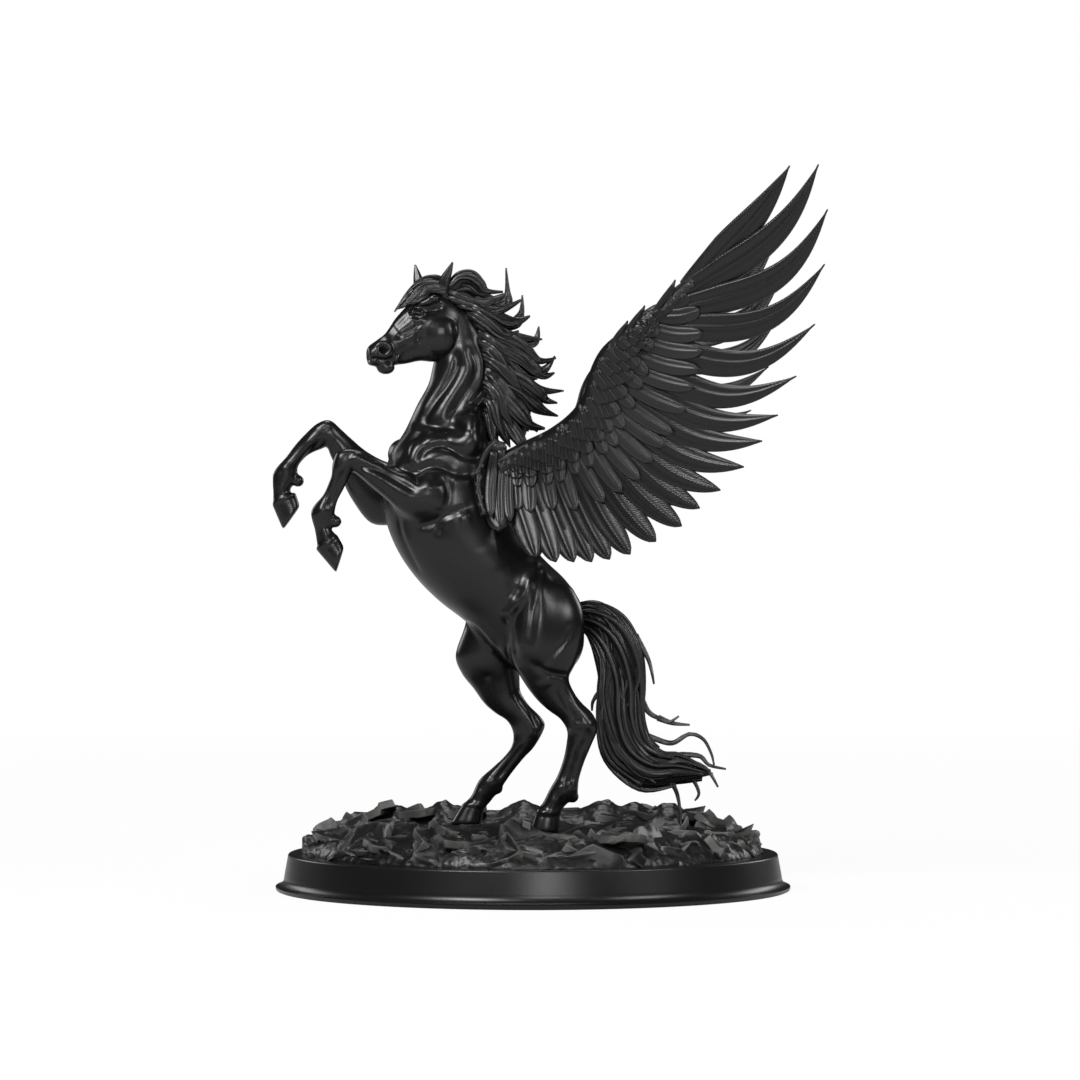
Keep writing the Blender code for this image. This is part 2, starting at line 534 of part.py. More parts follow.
def build_wing(bm):
    arm = curved(ARM, 3)
    rows = []
    for i, (x, z) in enumerate(arm):
        place = wing_place(x, z)
        rows.append((*place, lerp(ARM_RADIUS, HAND_RADIUS, i / (len(arm) - 1))))
    strand(bm, rows, flat=0.9, steps=1, sides=14)
    for i, (tip_x, tip_z, bend) in enumerate(FLIGHT):
        share = i / (len(FLIGHT) - 1)
        root = point_at(ARM, 0.97 - 0.93 * share**0.9)
        narrow = lerp(1.0, 0.86, share)
        sharp = lerp(1.0, 0.15, min(max(share - 0.25, 0.0) / 0.4, 1.0))
        feather(bm, root, (tip_x, tip_z), FLIGHT_HALF_WIDTH * narrow, FLIGHT_THICKNESS, sharp, bend)
    for tips, half, thick in (
        (GREATER_TIPS, GREATER_HALF_WIDTH, GREATER_THICKNESS),
        (MEDIAN_TIPS, MEDIAN_HALF_WIDTH, MEDIAN_THICKNESS),
    ):
        for i, tip in enumerate(tips):
            share = i / (len(tips) - 1)
            root = point_at(ARM, 0.9 - 0.88 * share)
            feather(bm, root, tip, half, thick, bend=COVERT_BEND * (1 - share))
    for row in range(LESSER_ROWS):
        for i in range(LESSER_PER_ROW):
            share = (i + 0.5 * (row % 2)) / LESSER_PER_ROW
            far = Vector(point_at(MEDIAN_TIPS, share))
            near = Vector(point_at(ARM, 0.86 - 0.84 * share))
            tip = near.lerp(far, lerp(0.72, 0.3, row / LESSER_ROWS))
            root = near.lerp(far, lerp(0.3, -0.15, row / LESSER_ROWS))
            feather(bm, root, tip, LESSER_HALF_WIDTH, LESSER_THICKNESS + row)
    strand(bm, [(*wing_place(x, z), ROOT_STRIP_RADIUS) for x, z in ROOT_STRIP])
    feather(bm, *ROOT_PLATE, ROOT_PLATE_HALF_WIDTH, ROOT_PLATE_THICKNESS)


def add_far_wing(bm, near):
    """The far wing mirrors the near one and swings a little further out and back."""
    pivot = Vector((SHOULDER[0], WING_ROOT_Y, SHOULDER[1]))
    rise = Vector((0.0, 0.0, FAR_WING_RISE))
    turn = Matrix.Rotation(math.radians(FAR_WING_SWING), 4, "Z") @ Matrix.Rotation(
        math.radians(FAR_WING_PITCH), 4, "Y")
    place = Matrix.Translation(pivot + rise) @ turn @ Matrix.Scale(FAR_WING_SIZE, 4)
    place = place @ Matrix.Translation(-pivot)
    copy = near.copy()
    bmesh.ops.transform(copy, matrix=place @ Matrix.Scale(-1.0, 4, (0, 1, 0)), verts=copy.verts[:])
    bmesh.ops.reverse_faces(copy, faces=copy.faces[:])
    add_mesh(bm, copy)


def add_mesh(bm, extra):
    """Puts one bmesh into another and frees it."""
    mesh = bpy.data.meshes.new("part")
    extra.to_mesh(mesh)
    extra.free()
    bm.from_mesh(mesh)
    bpy.data.meshes.remove(mesh)


def hair_lock(bm, lock, side=1.0):
    """One lock; side -1 puts it on the far side."""
    root_y, tip_y, half, *line = lock
    rows = []
    for i, (x, z) in enumerate(line):
        t = i / (len(line) - 1)
        narrow = max(t - LOCK_TAPER, 0.0) / (1 - LOCK_TAPER)
        rows.append((x, side * lerp(root_y, tip_y, t), z, lerp(half, STRAND_TIP, narrow)))
    strand(bm, rows)


def build_mane(bm):
    for lock in MANE_LOCKS:
        hair_lock(bm, lock)
        hair_lock(bm, lock, -1.0)
    for lock in MIDDLE_LOCKS + FORELOCKS:
        hair_lock(bm, lock)


def build_tail(bm):
    core = [(x, 0.0, z, depth * TAIL_CORE_SHARE) for x, z, depth, thick in TAIL]
    strand(bm, core, flat=0.62, sides=16)
    for k in range(TAIL_STRANDS):
        angle = k * GOLDEN_ANGLE
        out = 0.45 + 0.4 * ((k * 7) % 5) / 4
        reach = 1.0 - 0.25 * ((k * 3) % 4) / 3
        rows = []
        for i, (x, z, depth, thick) in enumerate(TAIL):
            t = i / (len(TAIL) - 1)
            if t > reach + 0.05:
                break
            turn = angle + TAIL_TWIST * t
            ahead = TAIL[min(i + 1, len(TAIL) - 1)]
            behind = TAIL[max(i - 1, 0)]
            along = Vector((ahead[0] - behind[0], 0.0, ahead[1] - behind[1])).normalized()
            side = Vector((-along.z, 0.0, along.x))
            place = Vector((x, 0.0, z)) + side * depth * out * math.cos(turn)
            place.y += thick * out * math.sin(turn)
            fade = min(t / 0.15, 1.0) * min((reach + 0.1 - t) / 0.3, 1.0)
            rows.append((*place, max(TAIL_STRAND_RADIUS * fade, STRAND_TIP)))
        strand(bm, rows, flat=0.85)
    for bundle in TAIL_BUNDLES:
        hair_lock(bm, bundle)
        hair_lock(bm, bundle, -1.0)
    for k, line in enumerate(WISPS):
        rows = []
        for i, (x, z) in enumerate(line):
            t = i / (len(line) - 1)
            rows.append((x, WISP_SPREAD * math.sin(k * 2.0), z, lerp(WISP_RADIUS, WISP_TIP_RADIUS, t)))
        strand(bm, rows, flat=1.0)


def rock_edge_radius():
    return PLINTH_WALL_TOP_RADIUS - RIM_WIDTH


def skyline(x):
    """Height of the broken skyline at x."""
    for (x1, z1), (x2, z2) in zip(SKYLINE, SKYLINE[1:]):
        if x <= x2:
            return lerp(z1, z2, min(max((x - x1) / (x2 - x1), 0.0), 1.0))
    return SKYLINE[-1][1]


def rock_height(x, y):
    """Height of the rock over the plinth's top, from its middle out to its broken edge."""
    reach = math.hypot(x, y)
    edge = rock_edge_radius()
    fall = min(max((edge - reach) / ROCK_EDGE_WIDTH, 0.0), 1.0)
    rough = noise.noise(Vector((x, y, SEED)) * 0.055) * 2 + noise.noise(Vector((y, x, SEED)) * 0.13)
    back = max(1.0 - abs(y - SKYLINE_Y) / SKYLINE_DEPTH, 0.0)
    calm = min(math.hypot(x + 8.0, y) / 40.0, 1.0)
    level = ROCK_HEIGHT - 1.0 + ROCK_ROUGHNESS * rough * calm
    return fall**0.6 * lerp(level, skyline(x), back)


def build_rock(bm):
    rings, spokes = ROCK_RINGS, ROCK_SPOKES
    edge = rock_edge_radius()
    loops = []
    for i in range(rings + 1):
        reach = edge * math.sin(0.5 * math.pi * (i + 0.35) / (rings + 0.35))
        loop = []
        for k in range(spokes):
            angle = 2 * math.pi * (k + 0.5 * (i % 2)) / spokes
            x, y = reach * math.cos(angle), reach * math.sin(angle)
            loop.append(bm.verts.new((x, y, PLINTH_HEIGHT + rock_height(x, y))))
        loops.append(loop)
    foot = [bm.verts.new((v.co.x, v.co.y, PLINTH_HEIGHT - ROCK_SINK)) for v in loops[-1]]
    loops.append(foot)
    for one, two in zip(loops, loops[1:]):
        for k in range(spokes):
            n = (k + 1) % spokes
            bm.faces.new((one[k], two[k], two[n], one[n]))
    bm.faces.new(loops[0])
    bm.faces.new(list(reversed(foot)))
    chance = random.Random(SEED)
    for k in range(EDGE_SLABS):
        angle = 2 * math.pi * (k + chance.uniform(-0.3, 0.3)) / EDGE_SLABS
        add_slab(bm, chance, edge - chance.uniform(8.0, 13.0), angle, chance.uniform(26, 52))
    for k in range(TOP_SLABS):
        angle = 2 * math.pi * (k + chance.uniform(-0.4, 0.4)) / TOP_SLABS
        add_slab(bm, chance, chance.uniform(34.0, 66.0), angle, chance.uniform(-14, 24))


def add_slab(bm, chance, reach, angle, tilt):
    """A broken slab of rock: the hull of a few corners, tipped outwards."""
    length = SLAB_LENGTH * chance.uniform(0.6, 1.1)
    breadth = SLAB_LENGTH * chance.uniform(0.5, 0.9)
    corners = []
    x, y = reach * math.cos(angle), reach * math.sin(angle)
    sunk = SLAB_THICKNESS * (0.9 if abs(y - SKYLINE_Y) < SKYLINE_DEPTH else 0.45)
    place = Matrix.Translation((x, y, PLINTH_HEIGHT + rock_height(x, y) - sunk))
    turn = Matrix.Rotation(angle + chance.uniform(-0.5, 0.5), 4, "Z") @ Matrix.Rotation(
        math.radians(tilt), 4, "Y") @ Matrix.Rotation(math.radians(chance.uniform(-12, 12)), 4, "X")
    for k in range(SLAB_CORNERS):
        around = 2 * math.pi * (k + chance.uniform(-0.3, 0.3)) / SLAB_CORNERS
        for level in (-0.5, 0.5):
            shrink = 1.0 if level < 0 else chance.uniform(0.72, 0.95)
            corner = Vector((
                math.cos(around) * length / 2 * shrink,
                math.sin(around) * breadth / 2 * shrink,
                SLAB_THICKNESS * level,
            ))
            corners.append(bm.verts.new(place @ turn @ corner))
    bmesh.ops.convex_hull(bm, input=corners)


def object_from(bm, name, collection):
    bmesh.ops.scale(bm, vec=(MM, MM, MM), verts=bm.verts[:])
    mesh = bpy.data.meshes.new(name)
    bm.to_mesh(mesh)
    bm.free()
    item = bpy.data.objects.new(name, mesh)
    collection.objects.link(item)
    return item


def apply_modifiers(item):
    """Replaces an object's mesh by the one its modifiers make."""
    graph = bpy.context.evaluated_depsgraph_get()
    mesh = bpy.data.meshes.new_from_object(item.evaluated_get(graph))
    item.modifiers.clear()
    old = item.data
    item.data = mesh
    bpy.data.meshes.remove(old)


def fuse(item, voxel, smoothing=0):
    """Joins overlapping shapes into one skin, and softens it."""
    remesh = item.modifiers.new("one_skin", "REMESH")
    remesh.mode = "VOXEL"
    remesh.voxel_size = voxel * MM
    if smoothing:
        soften = item.modifiers.new("soften", "SMOOTH")
        soften.factor = 0.5
        soften.iterations = round(smoothing)
    apply_modifiers(item)


def keep_outer_skin(item):
    """Fills the air pockets between locks and feathers by dropping every inner shell."""
    bm = bmesh.new()
    bm.from_mesh(item.data)
    bm.verts.ensure_lookup_table()
    seen, shells = set(), []
    for start in bm.verts:
        if start.index in seen:
            continue
        seen.add(start.index)
        shell, queue = [start], [start]
        while queue:
            for edge in queue.pop().link_edges:
                for vert in edge.verts:
                    if vert.index not in seen:
                        seen.add(vert.index)
                        shell.append(vert)
                        queue.append(vert)
        shells.append(shell)
    shells.sort(key=len)
    bmesh.ops.delete(bm, geom=[v for shell in shells[:-1] for v in shell], context="VERTS")
    bm.to_mesh(item.data)
    bm.free()


def mend_pinches(bm):
    """Closes up edges too short to cast, and those where two thin skins touch."""
    for _ in range(MEND_ROUNDS):
        pinched = [e for e in bm.edges if len(e.link_faces) != 2 or e.calc_length() < SHORTEST_EDGE * MM]
        if not pinched:
            break
        bmesh.ops.collapse(bm, edges=pinched)
        loose = [v for v in bm.verts if not v.link_faces]
        bmesh.ops.delete(bm, geom=loose, context="VERTS")


def thin_out(item, triangles):
    """Leaves about this many triangles, where the form needs them."""
    thin = item.modifiers.new("facets", "DECIMATE")
    thin.ratio = triangles / (2 * len(item.data.polygons))
    apply_modifiers(item)
    bm = bmesh.new()
    bm.from_mesh(item.data)
    mend_pinches(bm)
    bm.to_mesh(item.data)
    bm.free()


def build_plinth(collection):
    """The plinth's outer side, top to bottom, turned about Z."""
    round_off = PLINTH_EDGE_ROUND
    foot = PLINTH_FOOT_HEIGHT
    profile = (
        (0.0, PLINTH_HEIGHT),
        (PLINTH_WALL_TOP_RADIUS - round_off, PLINTH_HEIGHT),
        (PLINTH_WALL_TOP_RADIUS, PLINTH_HEIGHT - round_off),
        (PLINTH_WALL_FOOT_RADIUS, foot),
        (lerp(PLINTH_WALL_FOOT_RADIUS, PLINTH_FOOT_RADIUS, 0.6), foot * 0.72),
        (lerp(PLINTH_WALL_FOOT_RADIUS, PLINTH_FOOT_RADIUS, 0.94), foot * 0.46),
        (PLINTH_FOOT_RADIUS, foot * 0.26),
        (PLINTH_FOOT_RADIUS - PLINTH_EDGE_ROUND * 0.4, foot * 0.08),
        (PLINTH_FOOT_RADIUS - PLINTH_EDGE_ROUND, 0.0),
        (0.0, 0.0),
    )
    mesh = bpy.data.meshes.new(NODE)
    points = [(r * MM, 0.0, z * MM) for r, z in profile]
    mesh.from_pydata(points, [(i, i + 1) for i in range(len(points) - 1)], [])
    item = bpy.data.objects.new(NODE, mesh)
    collection.objects.link(item)
    screw = item.modifiers.new("turned", "SCREW")
    screw.steps = PLINTH_SEGMENTS
    screw.render_steps = PLINTH_SEGMENTS
    screw.use_merge_vertices = True
    screw.merge_threshold = 0.00001
    return item


def build_figure(cutters):
    horse = bmesh.new()
    build_horse(horse)
    bmesh.ops.translate(horse, vec=(0.0, 0.0, GROUND), verts=horse.verts[:])
    body = object_from(horse, "horse_form", cutters)
    fuse(body, VOXEL, BODY_SMOOTHING)
    rest = bmesh.new()
    wing = bmesh.new()
    build_wing(wing)
    add_far_wing(rest, wing)
    add_mesh(rest, wing)
    build_mane(rest)
    build_tail(rest)
    bmesh.ops.translate(rest, vec=(0.0, 0.0, GROUND), verts=rest.verts[:])
    build_rock(rest)
    bmesh.ops.scale(rest, vec=(MM, MM, MM), verts=rest.verts[:])
    rest.from_mesh(body.data)
    rest.to_mesh(body.data)
    rest.free()
    fuse(body, VOXEL)
    keep_outer_skin(body)
    thin_out(body, FIGURE_TRIANGLES)
    body.name = "figure_form"
    body.hide_render = True
    body.display_type = "WIRE"
    return body


def main():
    clear_scene()
    parts = new_collection(COLLECTION)
    cutters = new_collection("forms")
    figure = build_figure(cutters)
    figurine = build_plinth(parts)
    join = figurine.modifiers.new("cast_in_one", "BOOLEAN")
    join.operation = "UNION"
    join.object = figure
    join.solver = "MANIFOLD"
    figurine.data.materials.append(resin_material())


main()
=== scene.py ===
import math
import random

import bmesh
import bpy
import numpy as np
from mathutils import Matrix, Vector, noise


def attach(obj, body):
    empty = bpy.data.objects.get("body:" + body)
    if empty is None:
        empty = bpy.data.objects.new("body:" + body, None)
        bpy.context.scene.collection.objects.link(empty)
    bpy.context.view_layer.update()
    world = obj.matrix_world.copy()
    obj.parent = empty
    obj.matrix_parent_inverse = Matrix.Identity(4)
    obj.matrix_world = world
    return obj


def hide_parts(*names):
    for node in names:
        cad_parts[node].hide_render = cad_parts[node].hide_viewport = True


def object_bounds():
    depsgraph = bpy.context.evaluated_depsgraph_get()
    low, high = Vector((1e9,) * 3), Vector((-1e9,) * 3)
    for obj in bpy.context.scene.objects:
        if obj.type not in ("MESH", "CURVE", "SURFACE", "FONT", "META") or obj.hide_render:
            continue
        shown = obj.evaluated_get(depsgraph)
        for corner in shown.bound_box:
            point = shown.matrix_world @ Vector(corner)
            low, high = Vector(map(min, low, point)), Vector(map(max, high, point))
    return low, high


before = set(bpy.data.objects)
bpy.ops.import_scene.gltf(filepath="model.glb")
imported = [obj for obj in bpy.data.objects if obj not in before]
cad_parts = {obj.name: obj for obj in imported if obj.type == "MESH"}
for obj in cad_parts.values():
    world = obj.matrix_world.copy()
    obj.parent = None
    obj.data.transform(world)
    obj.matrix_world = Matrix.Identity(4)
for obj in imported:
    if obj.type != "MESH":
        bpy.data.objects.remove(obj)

# Places and sizes are in millimetres until makePiece turns them into metres.
# Heights of the horse start at its hooves, which stand at the height called ground.
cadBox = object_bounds()
mm = 0.001
ground = 25.0
node = "pegasus_figurine"


# small helpers

def mix(a, b, t):
    return a + (b - a) * t


def between(low, value, high):
    return min(max(value, low), high)


def curveAt(a, b, c, d, t):  # Catmull-Rom: from b to c, where a comes before them and d after
    return 0.5 * (2 * b + (c - a) * t + (2 * a - 5 * b + 4 * c - d) * t**2 + (3 * b - a - 3 * c + d) * t**3)


def smoothRows(rows, steps):  # rows on a smooth curve through the given ones
    out = []
    last = len(rows) - 1
    for i in range(last):
        before, here, after, beyond = rows[max(i - 1, 0)], rows[i], rows[i + 1], rows[min(i + 2, last)]
        for step in range(steps):
            out.append(tuple(curveAt(*four, step / steps) for four in zip(before, here, after, beyond)))
    out.append(tuple(rows[last]))
    return out


def rowAt(rows, share):  # the row at a share of the way along
    line = smoothRows(rows, 8)
    place = between(0.0, share, 1.0) * (len(line) - 1)
    i = min(int(place), len(line) - 2)
    return tuple(mix(a, b, place - i) for a, b in zip(line[i], line[i + 1]))


def directions(points):
    last = len(points) - 1
    return [(points[min(i + 1, last)] - points[max(i - 1, 0)]).normalized() for i in range(last + 1)]


# skins: a round ball whose rings are moved to the sections of a limb, a lock or a feather

ballMeshes = {}


def ballMesh(levels, sides):
    if (levels, sides) not in ballMeshes:
        bm = bmesh.new()
        bmesh.ops.create_uvsphere(bm, u_segments=sides, v_segments=levels + 1, radius=1.0)
        mesh = bpy.data.meshes.new("ball")
        bm.to_mesh(mesh)
        bm.free()
        spots = np.empty(len(mesh.vertices) * 3)
        mesh.vertices.foreach_get("co", spots)
        spots = spots.reshape(-1, 3)
        height = 1 - np.arccos(np.clip(spots[:, 2], -1, 1)) / math.pi
        level = np.rint(height * (levels + 1)).astype(int)
        around = np.rint(np.arctan2(spots[:, 1], spots[:, 0]) / (2 * math.pi) * sides).astype(int) % sides
        pole = (level == 0) | (level == levels + 1)
        mesh.attributes.new("grain", "FLOAT_VECTOR", "POINT")
        ballMeshes[(levels, sides)] = mesh, np.clip(level - 1, 0, levels - 1), around, pole
    return ballMeshes[(levels, sides)]


def addSkin(bm, rings, section, grain=None):
    # rings: centre, half depth, half width. section: across and over for each place round the ring,
    # the same for all rings or one for each. grain: what the grain attribute holds at each place.
    centres, deeps, wides = (np.array([tuple(ring[i]) for ring in rings]) for i in range(3))
    section = np.broadcast_to(np.array(section, dtype=float), (len(rings),) + np.array(section).shape[-2:])
    mesh, level, around, pole = ballMesh(len(rings), section.shape[1])
    across = np.where(pole, 0.0, section[level, around, 0])[:, None]
    over = np.where(pole, 0.0, section[level, around, 1])[:, None]
    spots = centres[level] + deeps[level] * across + wides[level] * over
    mesh.vertices.foreach_set("co", spots.ravel())
    marks = np.zeros((len(spots), 3)) if grain is None else grain(level, around, across[:, 0], over[:, 0])
    mesh.attributes["grain"].data.foreach_set("vector", marks.ravel())
    bm.from_mesh(mesh)


def roundSection(sides, fullness=1.0):
    turn = np.arange(sides) * 2 * math.pi / sides
    c, s = np.cos(turn), np.sin(turn)
    return np.stack([np.sign(c) * abs(c) ** (1 / fullness), np.sign(s) * abs(s) ** (1 / fullness)], axis=1)


def ridgedSection(levels, sides, ridges, depth, twist, start=0.0):
    turn = np.arange(sides) * 2 * math.pi / sides
    rows = []
    for i in range(levels):
        phase = start + twist * i / max(levels - 1, 1)
        broad = depth * np.cos(ridges * turn + phase)
        fine = depth * 0.5 * np.cos((ridges * 2 - 1) * turn - phase)
        swell = 1 - depth + broad + fine
        rows.append(np.stack([np.cos(turn) * swell, np.sin(turn) * swell], axis=1))
    return rows


def addLimb(bm, rows, sides=32):
    # sections seen edge-on from the side: front x, front z, back x, back z, y, half width
    smooth = smoothRows(rows, 6)
    centres = [Vector(((r[0] + r[2]) / 2, r[4], (r[1] + r[3]) / 2)) for r in smooth]
    rings = []
    for row, centre, along in zip(smooth, centres, directions(centres)):
        deep = Vector((row[0] - row[2], 0.0, row[1] - row[3])) / 2
        rings.append((centre, deep, along.cross(deep).normalized() * row[5]))
    addSkin(bm, rings, roundSection(sides))


def addLock(bm, rows, flat=0.7, steps=5, sides=20, ridges=4, depth=0.12, twist=1.5, start=0.0):
    # a tapering lock of hair through rows of x, y, z and radius, with grooves along it
    smooth = smoothRows(rows, steps)
    centres = [Vector(r[:3]) for r in smooth]
    rings, run = [], [0.0]
    for row, centre, along in zip(smooth, centres, directions(centres)):
        side = along.cross(Vector((0.0, 1.0, 0.0)))
        deep = (side if side.length > 0.05 else Vector((1.0, 0.0, 0.0))).normalized() * row[3]
        rings.append((centre, deep, along.cross(deep).normalized() * row[3] * flat))
    for one, two in zip(centres, centres[1:]):
        run.append(run[-1] + (two - one).length)
    run = np.array(run)
    width = np.array([row[3] for row in smooth])

    def grain(level, around, across, over):
        return np.stack([around / sides * 6.0 * width[level], run[level], np.full(len(level), start)], axis=1)

    addSkin(bm, rings, ridgedSection(len(rings), sides, ridges, depth, twist, start), grain)


def addBall(bm, centre, halfSizes, tilt=0.0):
    # tilt turns its length from +X towards +Z
    sides = 24
    place = (Matrix.Translation(centre) @ Matrix.Rotation(math.radians(-tilt), 4, "Y")
             @ Matrix.Diagonal((*halfSizes, 1.0)))
    bmesh.ops.create_uvsphere(bm, u_segments=sides, v_segments=sides // 2, radius=1.0, matrix=place)


def addBead(bm, centre, halfSizes, tilt):
    # a small ball with few faces, tilted in the same way
    levels, sides = 6, 10
    turn = math.radians(tilt)
    along = Vector((math.cos(turn), 0.0, math.sin(turn)))
    over = Vector((-math.sin(turn), 0.0, math.cos(turn)))
    rings = []
    for i in range(levels):
        angle = math.pi * (i + 0.4) / (levels - 0.2)
        rings.append((centre - along * halfSizes[0] * math.cos(angle), over * halfSizes[2] * math.sin(angle),
                      Vector((0.0, -halfSizes[1], 0.0)) * math.sin(angle)))
    addSkin(bm, rings, roundSection(sides))


def joinInto(bm, extra):
    mesh = bpy.data.meshes.new("extra")
    extra.to_mesh(mesh)
    extra.free()
    bm.from_mesh(mesh)
    bpy.data.meshes.remove(mesh)


# from a bmesh to a finished piece

def toMetres(bm, rise=0.0):
    bmesh.ops.translate(bm, vec=(0.0, 0.0, rise), verts=bm.verts[:])
    bmesh.ops.scale(bm, vec=(mm, mm, mm), verts=bm.verts[:])


def makePiece(bm, name, rise=0.0):
    toMetres(bm, rise)
    mesh = bpy.data.meshes.new(name)
    bm.to_mesh(mesh)
    bm.free()
    piece = bpy.data.objects.new(name, mesh)
    bpy.context.scene.collection.objects.link(piece)
    return piece


def applyModifiers(piece):
    graph = bpy.context.evaluated_depsgraph_get()
    mesh = bpy.data.meshes.new_from_object(piece.evaluated_get(graph))
    piece.modifiers.clear()
    old, piece.data = piece.data, mesh
    bpy.data.meshes.remove(old)


def fuseSkin(piece, voxel, smoothing):
    remesh = piece.modifiers.new("oneSkin", "REMESH")
    remesh.mode = "VOXEL"
    remesh.voxel_size = voxel * mm
    if smoothing:
        soften = piece.modifiers.new("soften", "SMOOTH")
        soften.factor = 0.5
        soften.iterations = smoothing
    applyModifiers(piece)


def thinFaces(piece, triangles):
    now = sum(len(p.vertices) - 2 for p in piece.data.polygons)
    if now > triangles:
        thin = piece.modifiers.new("fewerFaces", "DECIMATE")
        thin.ratio = triangles / now
        applyModifiers(piece)


def keepOuterShell(piece):  # drops the closed pockets that a fused skin may hold
    bm = bmesh.new()
    bm.from_mesh(piece.data)
    seen, shells = set(), []
    for start in bm.verts:
        if start in seen:
            continue
        seen.add(start)
        shell, queue = [start], [start]
        while queue:
            for edge in queue.pop().link_edges:
                for vert in edge.verts:
                    if vert not in seen:
                        seen.add(vert)
                        shell.append(vert)
                        queue.append(vert)
        shells.append(shell)
    shells.sort(key=len)
    bmesh.ops.delete(bm, geom=[v for shell in shells[:-1] for v in shell], context="VERTS")
    bm.to_mesh(piece.data)
    bm.free()


def finishPiece(piece, material, sharpAngle=None):
    # every point is kept inside the box of the solid that it replaces
    spots = np.empty(len(piece.data.vertices) * 3)
    piece.data.vertices.foreach_get("co", spots)
    piece.data.vertices.foreach_set("co", np.clip(spots.reshape(-1, 3), *np.array(cadBox)).ravel())
    piece.data.materials.clear()
    piece.data.materials.append(material)
    piece.data.shade_smooth()
    if sharpAngle:
        piece.data.set_sharp_from_angle(angle=math.radians(sharpAngle))
    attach(piece, "root")
    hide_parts(node)
    print(f"{piece.name}: {sum(len(p.vertices) - 2 for p in piece.data.polygons)} triangles")


def relax(piece, rounds, weightAt=None):
    # evens out the skin, by a weight for each place in millimetres
    mesh = piece.data
    count = len(mesh.vertices)
    spots = np.empty(count * 3)
    mesh.vertices.foreach_get("co", spots)
    spots = spots.reshape(-1, 3)
    pairs = np.empty(len(mesh.edges) * 2, dtype=int)
    mesh.edges.foreach_get("vertices", pairs)
    one, two = pairs.reshape(-1, 2).T
    ends, others = np.concatenate([one, two]), np.concatenate([two, one])
    links = np.bincount(ends, minlength=count)[:, None]
    weight = 0.5 if weightAt is None else 0.5 * weightAt(spots / mm)[:, None]
    for _ in range(rounds):
        sums = [np.bincount(ends, weights=spots[others, k], minlength=count) for k in range(3)]
        spots += weight * (np.stack(sums, axis=1) / links - spots)
    mesh.vertices.foreach_set("co", spots.ravel())
    mesh.update()


# carving: strokes that raise or sink the skin along lines seen from the side

carveLook = {"ridgeHeight": 0.7, "ridgeWidth": 1.8, "grooveHeight": 0.85, "grooveWidth": 0.95}


def carve(piece, strokes, side, yLimit=2.0, yStart=-200.0):
    # each stroke: height, half width, then x and z of its points. Ridges are broad and low, grooves narrow.
    # side is -1 for the near side and 1 for the far one. yLimit: how far past the middle a stroke reaches.
    # yStart: skin nearer than this is left alone.
    look = carveLook
    mesh = piece.data
    count = len(mesh.vertices)
    spots, facing = np.empty(count * 3), np.empty(count * 3)
    mesh.vertices.foreach_get("co", spots)
    mesh.vertex_normals.foreach_get("vector", facing)
    spots, facing = spots.reshape(-1, 3) / mm, facing.reshape(-1, 3)
    flatSpots = spots[:, (0, 2)] - (0.0, ground)
    outward = np.clip(side * facing[:, 1] * 1.6, 0.0, 1.0)
    toward = outward * (side * spots[:, 1] > -yLimit) * (spots[:, 1] > yStart)
    move = np.zeros(count)
    for height, width, *points in strokes:
        width *= look["ridgeWidth"] if height > 0 else look["grooveWidth"]
        height *= look["ridgeHeight"] if height > 0 else look["grooveHeight"]
        line = np.array(smoothRows(points, 8) if len(points) > 2 else points, dtype=float)
        low, high = line.min(axis=0) - 3 * width, line.max(axis=0) + 3 * width
        near = np.where(((flatSpots > low) & (flatSpots < high)).all(axis=1) & (toward > 0))[0]
        if not len(near):
            continue
        place = flatSpots[near]
        far, share = np.full(len(near), 1e9), np.zeros(len(near))
        for i, (one, two) in enumerate(zip(line, line[1:])):
            step = two - one
            t = np.clip(((place - one) @ step) / max(step @ step, 1e-9), 0, 1)
            gap = np.linalg.norm(place - one - t[:, None] * step, axis=1)
            closer = gap < far
            far[closer], share[closer] = gap[closer], ((i + t) / (len(line) - 1))[closer]
        fade = np.clip(np.minimum(share, 1 - share) * 5 + 0.35, 0, 1)
        move[near] += height * np.exp(-((far / width) ** 2)) * fade * toward[near]
    spots += facing * move[:, None]
    mesh.vertices.foreach_set("co", (spots * mm).ravel())
    mesh.update()


# shader maths: a socket that takes part in Python expressions

class Value:
    def __init__(self, socket):
        self.socket = socket

    def maths(self, operation, first, second=None):
        values = {0: first} if second is None else {0: first, 1: second}
        return Finish(self.socket.id_data).add("ShaderNodeMath", {"operation": operation}, values)

    def __add__(self, other):
        return self.maths("ADD", self, other)

    def __sub__(self, other):
        return self.maths("SUBTRACT", self, other)

    def __rsub__(self, other):
        return self.maths("SUBTRACT", other, self)

    def __mul__(self, other):
        return self.maths("MULTIPLY", self, other)

    def clamped(self):
        return self.maths("MINIMUM", self.maths("MAXIMUM", self, 0.0), 1.0)

    def sine(self):
        return self.maths("SINE", self)

    def size(self):
        return self.maths("ABSOLUTE", self)

    __radd__ = __add__
    __rmul__ = __mul__


class Finish:
    def __init__(self, tree):
        self.tree = tree

    def add(self, kind, settings=None, values=None, out=0):
        made = self.tree.nodes.new(kind)
        for name, value in (settings or {}).items():
            setattr(made, name, value)
        for name, value in (values or {}).items():
            if isinstance(value, Value):
                self.tree.links.new(value.socket, made.inputs[name])
            else:
                made.inputs[name].default_value = value
        return Value(made.outputs[out])


# resin

resinLook = {
    # the lighter colour is painted on high edges, partly as dry-brushed wear and partly as a painted
    # highlight, and on the feathers' lighter ends
    "colour": (0.0034, 0.0033, 0.0032), "wearAndHighlightColour": (0.14, 0.137, 0.133), "shine": 0.28,
    "roughnessSpread": 0.10, "wearAndHighlightRoughness": 0.15, "cloudScale": 38.0, "fineScale": 900.0,
    "wearAndHighlightEnd": 0.62, "grainHeight": 0.00002, "barbHeight": 0.000014, "hairHeight": 0.000022,
}
